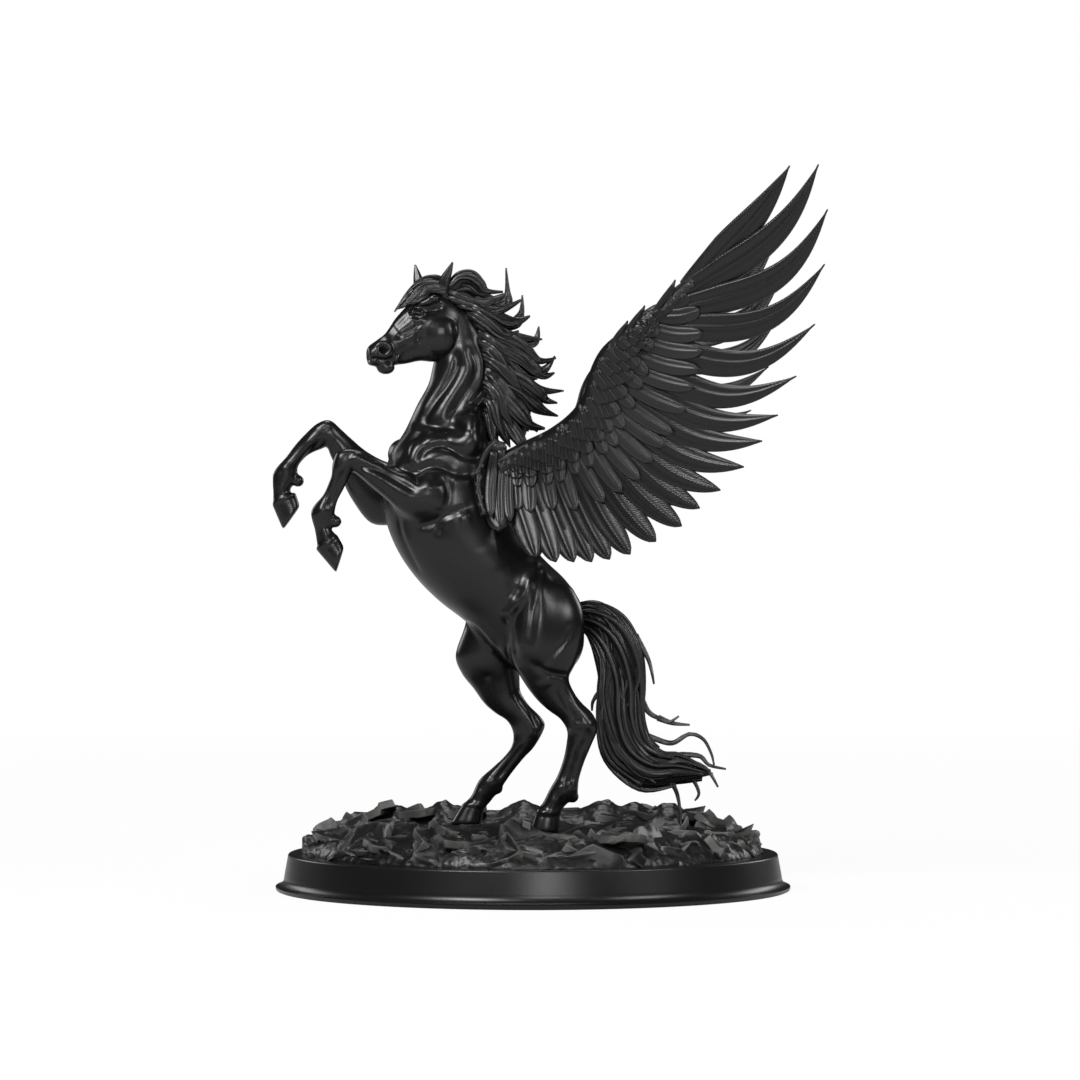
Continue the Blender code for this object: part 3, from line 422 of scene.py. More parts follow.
# edge lightening: how far high edges are lightened, partly as dry-brushed wear and partly as a painted
# highlight on their rims. It begins at the pointiness given as its start.
resinFinishes = {
    "satinResin": {"roughness": 0.31, "grain": 0.35, "wearAndHighlightShare": 0.0, "wearAndHighlightStart": 0.52},
    "polishedResin": {"roughness": 0.29, "grain": 0.08, "wearAndHighlightShare": 0.15, "wearAndHighlightStart": 0.52},
    "brushedAndHighlitResin": {"roughness": 0.38, "grain": 0.8, "wearAndHighlightShare": 1.0, "wearAndHighlightStart": 0.53},
    "featherResin": {"roughness": 0.30, "grain": 0.15, "wearAndHighlightShare": 0.25, "wearAndHighlightStart": 0.55},
    "hairResin": {"roughness": 0.29, "grain": 0.15, "wearAndHighlightShare": 0.4, "wearAndHighlightStart": 0.52},
}


def resinMaterial(name, relief=None, lighterTips=None):
    # dark satin resin. High edges are lightened, partly as dry-brushed wear and partly as a painted
    # highlight. relief adds the fine lines of hair or feathers, and the last callback makes the feathers
    # lighter towards their ends.
    look, own = resinLook, resinFinishes[name]
    material = bpy.data.materials.new(name)
    material.use_nodes = True
    tree = material.node_tree
    finish = Finish(tree)
    shader = tree.nodes["Principled BSDF"]
    shader.inputs["Specular IOR Level"].default_value = look["shine"]
    coordinates = finish.add("ShaderNodeTexCoord", out=3)
    cloud = finish.add("ShaderNodeTexNoise", values={
        "Vector": coordinates, "Scale": look["cloudScale"], "Detail": 5.0})
    fine = finish.add("ShaderNodeTexNoise", values={
        "Vector": coordinates, "Scale": look["fineScale"], "Detail": 3.0})
    spread = look["roughnessSpread"]
    rough = (cloud - 0.5) * spread + (fine - 0.5) * spread * 0.6 + own["roughness"]
    pointiness = finish.add("ShaderNodeNewGeometry", out=7)
    high = ((pointiness - own["wearAndHighlightStart"]) * (1 / (look["wearAndHighlightEnd"] - own["wearAndHighlightStart"]))).clamped()
    # painted highlight: high edges found by pointiness get the lighter colour, partly as dry-brushed wear and
    # partly in place of rim highlights
    wearAndHighlight = high * (cloud * 1.2).clamped() * own["wearAndHighlightShare"]
    if lighterTips:
        wearAndHighlight = (wearAndHighlight + lighterTips(finish) * cloud).clamped()
    shade = finish.add("ShaderNodeMix", {"data_type": "RGBA"}, {
        0: wearAndHighlight, 6: (*look["colour"], 1.0), 7: (*look["wearAndHighlightColour"], 1.0)}, out=2)
    tree.links.new(shade.socket, shader.inputs["Base Color"])
    tree.links.new((rough + wearAndHighlight * look["wearAndHighlightRoughness"]).clamped().socket, shader.inputs["Roughness"])
    height = fine * own["grain"] * look["grainHeight"]
    if relief:
        height = height + relief(finish)
    bump = finish.add("ShaderNodeBump", values={"Height": height, "Strength": 1.0, "Distance": 1.0})
    tree.links.new(bump.socket, shader.inputs["Normal"])
    return material


def grainParts(finish):
    # the grain attribute, and in it the millimetres across and along a feather or lock, and its mark
    marks = finish.add("ShaderNodeAttribute", {"attribute_name": "grain"}, out=1)
    parts = finish.add("ShaderNodeSeparateXYZ", values={0: marks}).socket.node.outputs
    return marks, Value(parts[0]), Value(parts[1]), Value(parts[2])


def barbRelief(finish):
    # barbs slant back from the quill
    marks, across, along, mark = grainParts(finish)
    soft = finish.add("ShaderNodeTexNoise", values={"Vector": marks, "Scale": 0.5, "Detail": 2.0})
    lines = ((along - across.size() * 1.6 + soft * 1.5) * 5.2).sine()
    return lines * resinLook["barbHeight"]


covertMark = 60  # the marks of coverts start here, and those of the flight feathers at 0


def featherTipsLighter(finish):
    # coverts are lighter towards their tips, flight feathers only near the ends
    marks, across, along, mark = grainParts(finish)
    covert = (mark - (covertMark - 10.0)).clamped()
    covertEnds = covert * ((along - 4.0) * 0.05).clamped() * 0.10
    flightEnds = (1.0 - covert) * ((along - 55.0) * 0.02).clamped() * 0.10
    return covertEnds + flightEnds


def hairRelief(finish):
    marks, across, along, mark = grainParts(finish)
    soft = finish.add("ShaderNodeTexNoise", values={"Vector": marks, "Scale": 0.25, "Detail": 2.0})
    lines = (across * 5.0 + soft * 5.0).sine()
    return lines * resinLook["hairHeight"]


# turned plinth

plinthLook = {
    "height": 14.6, "footRadius": 102.8, "footHeight": 5.4, "wallFootRadius": 99.4, "wallTopRadius": 97.9,
    "edgeRound": 0.9, "topInsets": (7.0, 4.0), "steps": 256,
}


def buildPlinth():
    look = plinthLook
    high, foot, edge = look["height"], look["footHeight"], look["edgeRound"]
    wallFoot, footRadius, wallTop = look["wallFootRadius"], look["footRadius"], look["wallTopRadius"]
    outline = [(0.0, high)] + [(wallTop - inset, high) for inset in look["topInsets"]]
    for step in range(7):  # the rounded upper edge
        a = math.radians(15 * step)
        outline.append((wallTop - edge + edge * math.sin(a), high - edge + edge * math.cos(a)))
    for t in (0.04, 0.2, 0.45, 0.7, 0.9, 0.97):  # the wall
        outline.append((mix(wallTop, wallFoot, t), mix(high - edge, foot, t)))
    for step in range(9):  # the rounded foot
        a = math.radians(90 * step / 8)
        outline.append((mix(wallFoot, footRadius, 1 - math.cos(a)), mix(foot, foot * 0.3, math.sin(a))))
    outline += [(footRadius, foot * 0.16), (footRadius - edge * 0.3, foot * 0.05), (footRadius - edge, 0.0)]
    outline.append((0.0, 0.0))
    bm = bmesh.new()
    verts = [bm.verts.new((r, 0.0, z)) for r, z in outline]
    edges = [bm.edges.new(pair) for pair in zip(verts, verts[1:])]
    bmesh.ops.spin(bm, geom=verts + edges, cent=(0, 0, 0), axis=(0, 0, 1), angle=2 * math.pi,
                   steps=look["steps"], use_merge=True)
    bmesh.ops.remove_doubles(bm, verts=bm.verts[:], dist=0.0005)
    bmesh.ops.recalc_face_normals(bm, faces=bm.faces[:])
    return makePiece(bm, "turnedPlinth")


# rock

rockLook = {
    "rimWidth": 6.6, "height": 9.4, "edgeWidth": 9.0, "edgeSides": 160, "insetRings": 40, "depth": 3.2,
    "roughness": 1.7, "broadScale": 0.055, "fineScale": 0.13, "seed": 7, "calmX": -8.0, "calmReach": 40.0,
    "skylineY": 46.0, "skylineDepth": 15.0, "voxel": 0.62, "smoothing": 2, "triangles": 187500,
    "bottom": -0.8, "facetHeight": 0.30, "facetScale": 0.16, "fineHeight": 0.55,
    # rings of slabs: distance in from the edge, count, then ranges of length, breadth, tilt and lip
    "slabRings": (
        (1.2, 34, (9, 12), (16, 26), (66, 82), (-1.0, 1.5)),
        (5.0, 26, (15, 20), (18, 30), (40, 62), (-1.0, 3.0)),
        (12.0, 24, (18, 28), (18, 32), (16, 36), (0.0, 4.5)),
        (22.0, 18, (20, 32), (20, 34), (-4, 20), (0.0, 4.5)),
        (36.0, 14, (18, 30), (18, 30), (-12, 14), (-1.0, 3.5)),
        (54.0, 8, (14, 24), (14, 22), (-10, 10), (-1.0, 2.0)),
    ),
    # x and height of the ridge behind the horse
    "skyline": (
        (-78, 8), (-73, 9.4), (-63, 16.8), (-55, 16.6), (-46, 13.8), (-37, 19.6), (-32, 16.8), (-20, 14.4),
        (-14, 14.6), (-4, 19.2), (4, 15.4), (17, 14.2), (27, 18.6), (32, 19.0), (35, 15.4), (42, 18.8),
        (48, 14.2), (53, 17.6), (58, 17.8), (62, 14.0), (71, 12.2), (80, 10),
    ),
}


def skylineHeight(x):
    rows = rockLook["skyline"]
    for (x1, z1), (x2, z2) in zip(rows, rows[1:]):
        if x <= x2:
            return mix(z1, z2, between(0.0, (x - x1) / (x2 - x1), 1.0))
    return rows[-1][1]


def rockHeight(x, y):
    look = rockLook
    edge = plinthLook["wallTopRadius"] - look["rimWidth"]
    fall = between(0.0, (edge - math.hypot(x, y)) / look["edgeWidth"], 1.0)
    broad = noise.noise(Vector((x, y, look["seed"])) * look["broadScale"])
    fine = noise.noise(Vector((y, x, look["seed"])) * look["fineScale"])
    back = max(1.0 - abs(y - look["skylineY"]) / look["skylineDepth"], 0.0)
    calm = min(math.hypot(x - look["calmX"], y) / look["calmReach"], 1.0)
    level = look["height"] + look["roughness"] * (broad * 2 + fine) * calm
    return fall**0.6 * mix(level, skylineHeight(x), back)


slabLook = {
    "thickness": 3.4, "sink": 0.3, "grid": 9, "corners": (4, 6), "cornerShift": 0.28,
    "cornerReach": (0.42, 0.58), "facetScale": 2.6, "bevelAngle": 55, "bevel": 0.3, "roll": 18,
    "shift": 0.35, "inwards": 3.0, "swing": 0.5, "overhang": 1.0, "bottom": 0.05,
}


def addSlab(bm, chance, x, y, heading, length, breadth, tilt, lip):
    # a broken plate with straight edges, a few flat facets and a curled outer lip
    look = slabLook
    slab = bmesh.new()
    bmesh.ops.create_grid(slab, x_segments=look["grid"], y_segments=look["grid"], size=0.5)
    count = chance.randint(*look["corners"])
    shift = look["cornerShift"]
    turns = [(k + chance.uniform(-shift, shift)) * 2 * math.pi / count for k in range(count)]
    corners = [Vector((math.cos(t), math.sin(t))) * chance.uniform(*look["cornerReach"]) for t in turns]
    seed = Vector((chance.uniform(0, 99), chance.uniform(0, 99), 0))
    for vert in slab.verts:
        u, v = vert.co.x, vert.co.y
        share, turn = 2 * max(abs(u), abs(v)), math.atan2(v, u)
        reach = min(edgeReach(one, two, turn) for one, two in zip(corners, corners[1:] + corners[:1]))
        spot = Vector((math.cos(turn), math.sin(turn))) * reach * share
        near = noise.voronoi(Vector((spot.x, spot.y, 0)) * look["facetScale"] + seed)[1][0]
        facet = (near.x - seed.x) * 0.9 * math.sin(near.y * 9) + 0.35 * math.sin(near.x * 23)
        vert.co = Vector((spot.x * length, spot.y * breadth, facet + lip * max(spot.x + 0.1, 0.0) ** 2 * 5))
    bmesh.ops.solidify(slab, geom=slab.faces[:], thickness=look["thickness"])
    bmesh.ops.recalc_face_normals(slab, faces=slab.faces[:])
    sharp = math.radians(look["bevelAngle"])
    rim = [e for e in slab.edges if e.is_manifold and e.calc_face_angle() > sharp]
    bmesh.ops.bevel(slab, geom=rim, offset=look["bevel"], segments=1, profile=0.5, affect="EDGES",
                    material=-1)
    height = plinthLook["height"] + rockHeight(x, y) - look["thickness"] * look["sink"]
    roll = math.radians(chance.uniform(-look["roll"], look["roll"]))
    place = (Matrix.Translation((x, y, height)) @ Matrix.Rotation(heading, 4, "Z")
             @ Matrix.Rotation(math.radians(tilt), 4, "Y") @ Matrix.Rotation(roll, 4, "X"))
    bmesh.ops.transform(slab, matrix=place, verts=slab.verts[:])
    joinInto(bm, slab)


def edgeReach(one, two, turn):
    # how far the line through two corners lies from the middle, in one direction
    out = Vector((two.y - one.y, one.x - two.x)).normalized()
    along = out.x * math.cos(turn) + out.y * math.sin(turn)
    return out.dot(one) / along if along > 0.05 else 9.0


def buildMound(edge, top):
    # a round plate whose upper face is inset in rings, which are then lifted to the rock's height
    look = rockLook
    bm = bmesh.new()
    bmesh.ops.create_circle(bm, cap_ends=True, radius=edge, segments=look["edgeSides"])
    underside = bm.faces[:]
    bmesh.ops.translate(bm, vec=(0, 0, top - look["depth"]), verts=bm.verts[:])
    raised = bmesh.ops.extrude_face_region(bm, geom=underside)["geom"]
    inner = [f for f in raised if isinstance(f, bmesh.types.BMFace)][0]
    lifted = [v for v in raised if isinstance(v, bmesh.types.BMVert)]
    bmesh.ops.translate(bm, vec=(0, 0, look["depth"]), verts=lifted)
    if underside[0].normal.z > 0:
        bmesh.ops.reverse_faces(bm, faces=underside)
    rings = look["insetRings"]
    for i in range(rings):
        wide, narrow = (math.cos(0.5 * math.pi * k / (rings + 1)) for k in (i, i + 1))
        bmesh.ops.inset_region(bm, faces=[inner], thickness=edge * (wide - narrow), use_even_offset=True)
    for vert in bm.verts:
        if vert.co.z > top - 0.5:
            vert.co.z = top + rockHeight(vert.co.x, vert.co.y) + 0.001
    piece = makePiece(bm, "rockMound")
    fuseSkin(piece, look["voxel"], look["smoothing"])
    keepOuterShell(piece)
    roughen(piece, look["facetHeight"], look["facetScale"], look["fineHeight"])
    thinFaces(piece, look["triangles"])
    return piece


def buildSlabs(edge, top):
    look = slabLook
    chance = random.Random(rockLook["seed"])
    slabs = bmesh.new()
    for inset, count, *ranges in rockLook["slabRings"]:
        for k in range(count):
            angle = 2 * math.pi * (k + chance.uniform(-look["shift"], look["shift"])) / count
            reach = edge - inset - chance.uniform(0.0, look["inwards"])
            heading = angle + chance.uniform(-look["swing"], look["swing"])
            sizes = [chance.uniform(*limits) for limits in ranges]
            addSlab(slabs, chance, reach * math.cos(angle), reach * math.sin(angle), heading, *sizes)
    toMetres(slabs)
    bottom, limit = (top + look["bottom"]) * mm, (edge + look["overhang"]) * mm
    for vert in slabs.verts:
        vert.co.z = max(vert.co.z, bottom)
        out = math.hypot(vert.co.x, vert.co.y)
        if out > limit:
            vert.co.x, vert.co.y = vert.co.x * limit / out, vert.co.y * limit / out
    return slabs


def buildRock():
    edge = plinthLook["wallTopRadius"] - rockLook["rimWidth"]
    top = plinthLook["height"]
    piece = buildMound(edge, top)
    bm = bmesh.new()
    bm.from_mesh(piece.data)
    cut = bmesh.ops.bisect_plane(
        bm, geom=bm.verts[:] + bm.edges[:] + bm.faces[:], dist=1e-7,
        plane_co=(0, 0, (top + rockLook["bottom"]) * mm), plane_no=(0, 0, 1), clear_inner=True)
    rim = [e for e in cut["geom_cut"] if isinstance(e, bmesh.types.BMEdge)]
    bmesh.ops.holes_fill(bm, edges=rim, sides=0)
    joinInto(bm, buildSlabs(edge, top))
    bm.to_mesh(piece.data)
    bm.free()
    return piece


def roughen(piece, height, frequency, fineHeight):
    # broken facets: distance to scattered points, so that small planes meet in creases
    bm = bmesh.new()
    bm.from_mesh(piece.data)
    bm.normal_update()
    for vert in bm.verts:
        place = vert.co / mm
        near = noise.voronoi(place * frequency)[0]
        facet = (near[1] - near[0]) * 1.6 - 0.5
        small = noise.noise(place * 0.5) + 0.5 * noise.noise(place * 1.2)
        vert.co += vert.normal * (facet * height + small * fineHeight * 0.45) * mm
    bm.to_mesh(piece.data)
    bm.free()


# horse

bodyLook = {"voxel": 0.52, "smoothing": 6, "triangles": 150000, "trunkRelax": 60, "carvedRelax": 5}

# sections of the trunk and legs: front x, front z, back x, back z, y, half width
trunk = (
    (-34.8, 208.2, -23.6, 205.8, 0.0, 5.5),
    (-37.2, 196.6, -18.8, 197.0, 0.0, 7.0),
    (-40.4, 184.2, -16.0, 187.4, 0.0, 8.0),
    (-42.0, 177.0, -15.2, 176.2, 0.0, 9.2),
    (-46.4, 169.0, -16.0, 167.4, 0.0, 11.0),
    (-51.6, 157.8, -17.2, 157.8, 0.0, 14.0),
    (-57.2, 148.6, -14.4, 148.6, 0.0, 18.0),
    (-60.0, 137.0, -11.6, 142.6, 0.0, 21.0),
    (-59.6, 125.0, -8.4, 133.8, 0.0, 22.5),
    (-54.8, 111.4, -5.2, 124.6, 0.0, 23.0),
    (-46.8, 99.4, -1.6, 114.6, 0.0, 22.5),
    (-37.2, 89.8, 4.8, 106.6, 0.0, 21.5),
    (-26.8, 81.8, 13.2, 98.6, 0.0, 20.5),
    (-16.4, 71.4, 19.6, 88.6, 0.0, 19.0),
    (-8.4, 63.4, 20.8, 77.8, 0.0, 16.0),
    (-0.4, 58.6, 17.6, 66.6, 0.0, 11.0),
)
nearForeleg = (
    (-33.7, 121.0, -29.8, 140.8, -13.0, 7.0),
    (-43.2, 121.7, -39.2, 141.1, -17.0, 8.5),
    (-51.1, 124.1, -47.9, 140.7, -17.5, 7.6),
    (-57.8, 130.1, -55.4, 143.1, -17.0, 6.2),
    (-65.0, 136.4, -62.6, 146.7, -16.5, 5.0),
    (-70.5, 141.2, -68.6, 150.3, -16.0, 4.4),
    (-71.7, 141.2, -76.5, 150.3, -16.0, 4.6),
    (-72.1, 140.4, -79.3, 145.9, -16.0, 4.6),
    (-73.3, 138.4, -79.7, 140.8, -15.8, 3.6),
    (-75.3, 134.4, -80.9, 137.2, -15.6, 2.8),
    (-77.7, 129.7, -83.2, 132.4, -15.4, 2.7),
    (-78.9, 124.1, -88.0, 126.1, -15.2, 3.7),
    (-80.1, 119.4, -86.4, 117.8, -15.0, 2.9),
    (-77.3, 116.2, -85.2, 109.8, -15.0, 3.6),
)
farForeleg = (
    (-53.6, 120.6, -45.5, 142.8, 12.0, 9.0),
    (-65.0, 121.1, -58.5, 146.1, 16.0, 8.0),
    (-73.1, 130.8, -66.7, 150.1, 17.0, 6.5),
    (-77.6, 140.0, -72.3, 154.6, 17.0, 5.2),
    (-81.6, 148.1, -77.1, 159.0, 16.5, 4.5),
    (-83.2, 152.1, -82.0, 163.0, 16.0, 4.4),
    (-85.2, 151.3, -86.8, 161.8, 16.0, 4.2),
    (-88.4, 150.1, -91.2, 158.2, 15.8, 3.6),
    (-91.6, 148.1, -96.1, 152.9, 15.6, 2.8),
    (-94.8, 144.1, -99.7, 148.1, 15.4, 2.7),
    (-95.2, 139.6, -104.9, 141.6, 15.2, 3.7),
    (-98.0, 134.4, -104.9, 134.0, 15.0, 2.9),
    (-95.6, 133.2, -104.9, 127.9, 15.0, 3.6),
)
nearHindLeg = (
    (-9.1, 94.7, 15.5, 96.7, -8.0, 9.0),
    (-11.9, 82.8, 20.3, 86.0, -11.0, 10.5),
    (-10.3, 72.9, 19.9, 74.9, -12.0, 10.5),
    (-7.5, 65.0, 17.1, 65.7, -12.5, 9.0),
    (-3.2, 57.4, 14.3, 59.8, -12.5, 7.0),
    (1.6, 51.1, 16.3, 54.2, -12.5, 5.6),
    (6.4, 46.7, 19.5, 49.9, -12.5, 4.8),
    (10.7, 43.5, 23.9, 45.5, -12.5, 4.4),
    (13.5, 38.7, 25.8, 39.9, -12.5, 4.4),
    (13.1, 32.8, 23.1, 32.8, -12.5, 3.9),
    (11.9, 27.2, 20.3, 26.0, -12.5, 3.2),
    (9.6, 20.9, 18.3, 19.3, -12.5, 3.1),
    (6.4, 15.3, 17.5, 13.7, -12.5, 4.2),
    (4.0, 10.5, 12.7, 8.9, -12.5, 3.8),
    (1.2, 7.0, 10.7, 5.4, -12.5, 4.4),
)
farHindLeg = (
    (-25.3, 90.5, 2.8, 90.5, 8.0, 9.0),
    (-27.8, 79.6, -1.2, 80.4, 11.0, 10.0),
    (-31.4, 68.3, -4.4, 68.3, 12.0, 10.0),
    (-28.6, 60.6, -5.3, 61.4, 12.5, 8.5),
    (-24.2, 55.0, -5.3, 57.4, 12.5, 6.8),
    (-19.8, 48.9, -4.9, 53.4, 12.5, 5.4),
    (-15.3, 44.9, -1.6, 48.1, 12.5, 4.6),
    (-10.5, 41.7, 3.2, 43.3, 12.5, 4.3),
    (-8.1, 36.9, 4.8, 39.3, 12.5, 4.3),
    (-8.5, 31.6, 0.8, 31.6, 12.5, 3.8),
    (-11.7, 27.2, -3.6, 26.8, 12.5, 3.0),
    (-16.5, 22.8, -8.5, 20.7, 12.5, 2.9),
    (-21.8, 17.9, -12.5, 15.1, 12.5, 4.0),
    (-25.0, 11.5, -16.9, 9.5, 12.5, 3.6),
    (-29.0, 7.5, -19.8, 6.2, 12.5, 4.3),
)
# each leg with the heel's x and z and the toe's x and z of its sole
legs = (
    (nearForeleg, (-74.9, 111.8, -78.1, 101.5)),
    (farForeleg, (-94.0, 128.3, -100.9, 118.6)),
    (nearHindLeg, (10.7, -1.2, -1.6, -1.2)),
    (farHindLeg, (-20.6, 0.2, -33.5, 0.2)),
)
# a share of the way from the leg's end to the sole, and the breadth there, as a share of the leg's
hoofRings = ((-0.16, 0.90), (-0.05, 1.03), (0.03, 1.06), (0.07, 0.98), (0.5, 1.07), (0.93, 1.17), (1.0, 1.12))
# x, y and z of the tufts behind the fetlocks
fetlockTufts = ((-78.3, -15.2, 121.9), (-94.8, 15.2, 138.4), (15.8, -12.5, 12.6), (-14.5, 12.5, 14.6))
tuftRadius = 2.5
# x, y, z, half length, half depth, half width, tilt: on both sides
muscles = (
    (-35.0, 11.0, 137.5, 13.0, 10.5, 11.0, 60),
    (-44.0, 11.0, 146.5, 15.0, 8.0, 8.0, 40),
    (-50.0, 8.0, 140.0, 10.0, 8.5, 9.0, 70),
    (-27.0, 11.0, 150.0, 16.0, 8.0, 7.5, 75),
    (2.0, 9.5, 88.0, 17.0, 12.5, 11.0, 115),
    (9.5, 8.5, 78.0, 16.0, 11.0, 11.5, 100),
    (-17.5, 10.0, 139.0, 13.0, 8.0, 9.0, 115),
)
farShoulderPoint = (-53.5, 8.5, 150.0, 6.0, 5.0, 5.5, 60)
# height, half width, then x and z: the muscles and folds of both sides
bodyStrokes = (
    (2.6, 2.4, (0.6, 108.0), (-0.2, 98.0), (-2.8, 85.0), (-4.4, 68.0)),
    (2.0, 2.4, (4.0, 104.0), (3.6, 92.0), (2.6, 80.0), (0.6, 66.0)),
    (-0.8, 1.4, (2.0, 104.0), (1.2, 92.0), (-0.8, 74.0)),
    (1.5, 2.1, (-31.8, 188.1), (-32.7, 182.6), (-36.4, 176.5), (-40.5, 170.3), (-44.0, 164.1)),
    (-1.3, 1.6, (-29.9, 188.8), (-30.8, 181.9), (-34.4, 175.1), (-38.5, 169.6), (-43.3, 162.4)),
    (1.7, 1.8, (-28.2, 192.9), (-26.7, 187.4), (-25.5, 183.3), (-28.9, 177.1), (-34.0, 169.6),
     (-38.1, 162.4)),
    (-1.2, 1.7, (-25.5, 191.5), (-22.9, 184.7), (-23.8, 177.8), (-28.2, 171.0), (-33.4, 162.4)),
    (1.1, 2.2, (-24.8, 197.0), (-21.7, 190.1), (-20.4, 183.3), (-22.4, 175.8), (-25.5, 171.0)),
    (-1.1, 1.4, (-21.7, 194.2), (-18.5, 187.4), (-18.3, 180.6), (-19.7, 175.1), (-24.1, 168.9),
     (-27.9, 164.1)),
    (1, 0.9, (-16.5, 175.8), (-19.3, 171.7), (-24.8, 166.5), (-29.9, 161.1)),
    (1.5, 1.7, (-22.4, 167.9), (-23.8, 164.1), (-24.5, 156.6)),
    (-1.1, 1.2, (-20.2, 168.3), (-20.8, 162.8), (-21.0, 155.9)),
    (1.1, 1.3, (-17.1, 172.4), (-18.0, 166.2), (-18.3, 160.0)),
    (-1.3, 2.2, (-44.6, 160.7), (-38.5, 159.7), (-31.6, 159.0), (-27.2, 157.3)),
    (1.5, 2.4, (-43.6, 153.2), (-39.9, 155.1), (-34.4, 154.6), (-29.6, 152.9), (-24.8, 153.3),
     (-20.7, 151.8)),
    (-1.5, 1.5, (-45.0, 146.7), (-41.9, 150.5), (-36.4, 151.7), (-31.6, 150.1), (-26.9, 147.4),
     (-21.7, 146.9)),
    (1.3, 1.5, (-42.6, 143.5), (-37.8, 147.4), (-33.4, 148.4), (-28.9, 146.7), (-24.1, 145.0),
     (-21.7, 145.3)),
    (-1.4, 1.6, (-45.7, 140.9), (-41.9, 143.5), (-36.4, 143.5), (-31.0, 140.9), (-24.8, 140.2)),
    (1.1, 1.6, (-41.6, 141.6), (-40.7, 138.2), (-40.8, 134.0)),
    (1, 2, (-31.6, 138.8), (-28.2, 138.0), (-24.5, 138.5)),
    (1.7, 1.7, (-45.2, 159.0), (-49.4, 155.6), (-54.2, 151.2), (-58.0, 146.0)),
    (-0.9, 1.2, (-44.0, 156.3), (-48.7, 152.5), (-50.1, 147.7)),
    (0.8, 1.4, (-46.0, 153.9), (-47.7, 149.1), (-47.4, 145.0)),
    (-1.2, 1.3, (-58.0, 144.3), (-52.8, 142.3), (-47.4, 140.9), (-45.0, 136.8)),
    (0.9, 1.2, (-71.3, 147.7), (-63.8, 145.3), (-55.6, 142.9), (-47.7, 139.2)),
    (-0.9, 1.1, (-68.6, 144.3), (-60.4, 141.6), (-52.8, 137.5), (-46.4, 134.0)),
    (0.9, 1.1, (-67.9, 141.9), (-61.1, 138.8), (-53.5, 134.0), (-47.4, 130.3)),
    (-1, 1.6, (-35.4, 140.9), (-33.4, 135.4), (-33.7, 129.9), (-36.4, 124.5)),
    (0.9, 1.6, (-37.1, 136.8), (-35.4, 132.0), (-37.1, 126.5)),
    (-1.3, 1.5, (-45.0, 120.0), (-39.8, 121.5), (-33.8, 124.5), (-25.2, 127.5)),
    (0.8, 2.4, (-29.1, 123.2), (-24.8, 124.5)),
    (0.5, 1, (-58.2, 120.7), (-55.2, 112.9), (-50.9, 105.6), (-47.1, 99.6)),
    (-0.6, 1, (-53.5, 123.7), (-52.2, 116.4), (-48.4, 107.8), (-44.9, 101.4)),
    (-1, 3, (-38.9, 119.8), (-35.5, 118.9)),
    (0.7, 4, (-14.5, 114.7), (-9.6, 105.0)),
    (-0.8, 3, (-6.0, 96.5), (-8.4, 91.7)),
    (1.4, 0.9, (-2.1, 100.2), (-3.3, 94.1), (-6.6, 89.3), (-9.8, 85.3)),
    (1.2, 0.8, (-12.4, 87.1), (-9.0, 82.6), (-8.3, 78.4)),
    (-1.4, 1.5, (-5.7, 88.0), (-6.9, 82.0), (-7.2, 75.9), (-6.6, 69.3)),
    (-1.2, 1.2, (-10.8, 83.2), (-9.5, 75.9), (-9.3, 66.9), (-6.0, 60.2)),
    (0.7, 0.8, (-8.4, 79.0), (-8.3, 69.9), (-5.4, 62.6)),
    (-0.8, 1.1, (14.6, 80.7), (12.9, 75.0), (9.1, 70.4), (5.2, 65.9)),
    (0.5, 0.9, (14.9, 75.9), (11.6, 70.7), (7.3, 66.2)),
    (-1, 1.3, (0.7, 65.3), (6.7, 62.0), (13.1, 60.7)),
    (0.8, 1.9, (5.2, 59.8), (6.7, 56.8)),
    (1, 0.8, (-28.8, 84.0), (-23.0, 81.3), (-18.2, 75.9), (-15.4, 71.6)),
    (-1, 0.9, (-26.6, 81.9), (-21.8, 78.3), (-17.2, 71.6)),
    (0.9, 0.9, (11.1, 60.4), (14.7, 54.4), (16.6, 48.9), (20.2, 44.1), (23.8, 38.6)),
    (-0.8, 1.1, (9.6, 56.8), (13.2, 49.5), (17.5, 42.8)),
    (0.7, 0.9, (23.8, 43.5), (21.4, 39.8)),
    (1, 1.2, (17.8, 42.2), (19.3, 40.1)),
    (1.1, 1, (18.1, 36.8), (15.5, 29.5), (12.6, 21.6), (11.4, 17.3)),
    (-1, 0.9, (19.9, 35.0), (16.9, 25.2), (14.7, 18.0)),
    (0.8, 0.9, (21.7, 34.3), (18.5, 26.5), (16.3, 19.2), (16.0, 14.3)),
    (0.9, 1.3, (11.1, 17.0), (11.4, 16.1)),
    (0.7, 0.9, (8.8, 12.5), (7.0, 7.9)),
    (-0.7, 0.8, (11.7, 12.5), (11.1, 8.8)),
    (0.5, 0.6, (2.0, 6.7), (6.2, 6.4), (13.5, 6.5)),
    (-0.5, 0.5, (2.0, 5.5), (6.2, 5.1), (13.5, 5.5)),
    (0.8, 1.1, (-77.9, 147.5), (-73.9, 149.9), (-70.2, 148.8)),
    (0.7, 0.8, (-71.6, 145.9), (-68.8, 148.0)),
    (-0.5, 0.8, (-73.4, 147.2), (-71.0, 148.6)),
    (0.8, 1, (-77.6, 144.6), (-80.3, 136.1), (-82.9, 129.7), (-83.8, 125.5)),
    (-0.9, 0.9, (-74.2, 142.5), (-78.4, 134.0), (-80.8, 127.6)),
    (0.7, 0.8, (-73.1, 138.8), (-77.1, 132.9), (-79.1, 127.1)),
    (0.8, 1.4, (-84.0, 125.8), (-83.7, 125.2)),
    (0.6, 1, (-82.8, 118.3), (-81.3, 114.4)),
    (-0.5, 0.5, (-85.3, 109.8), (-81.6, 111.4), (-77.4, 115.4)),
    (0.5, 0.6, (-84.8, 111.4), (-81.6, 113.0), (-78.3, 116.7)),
)
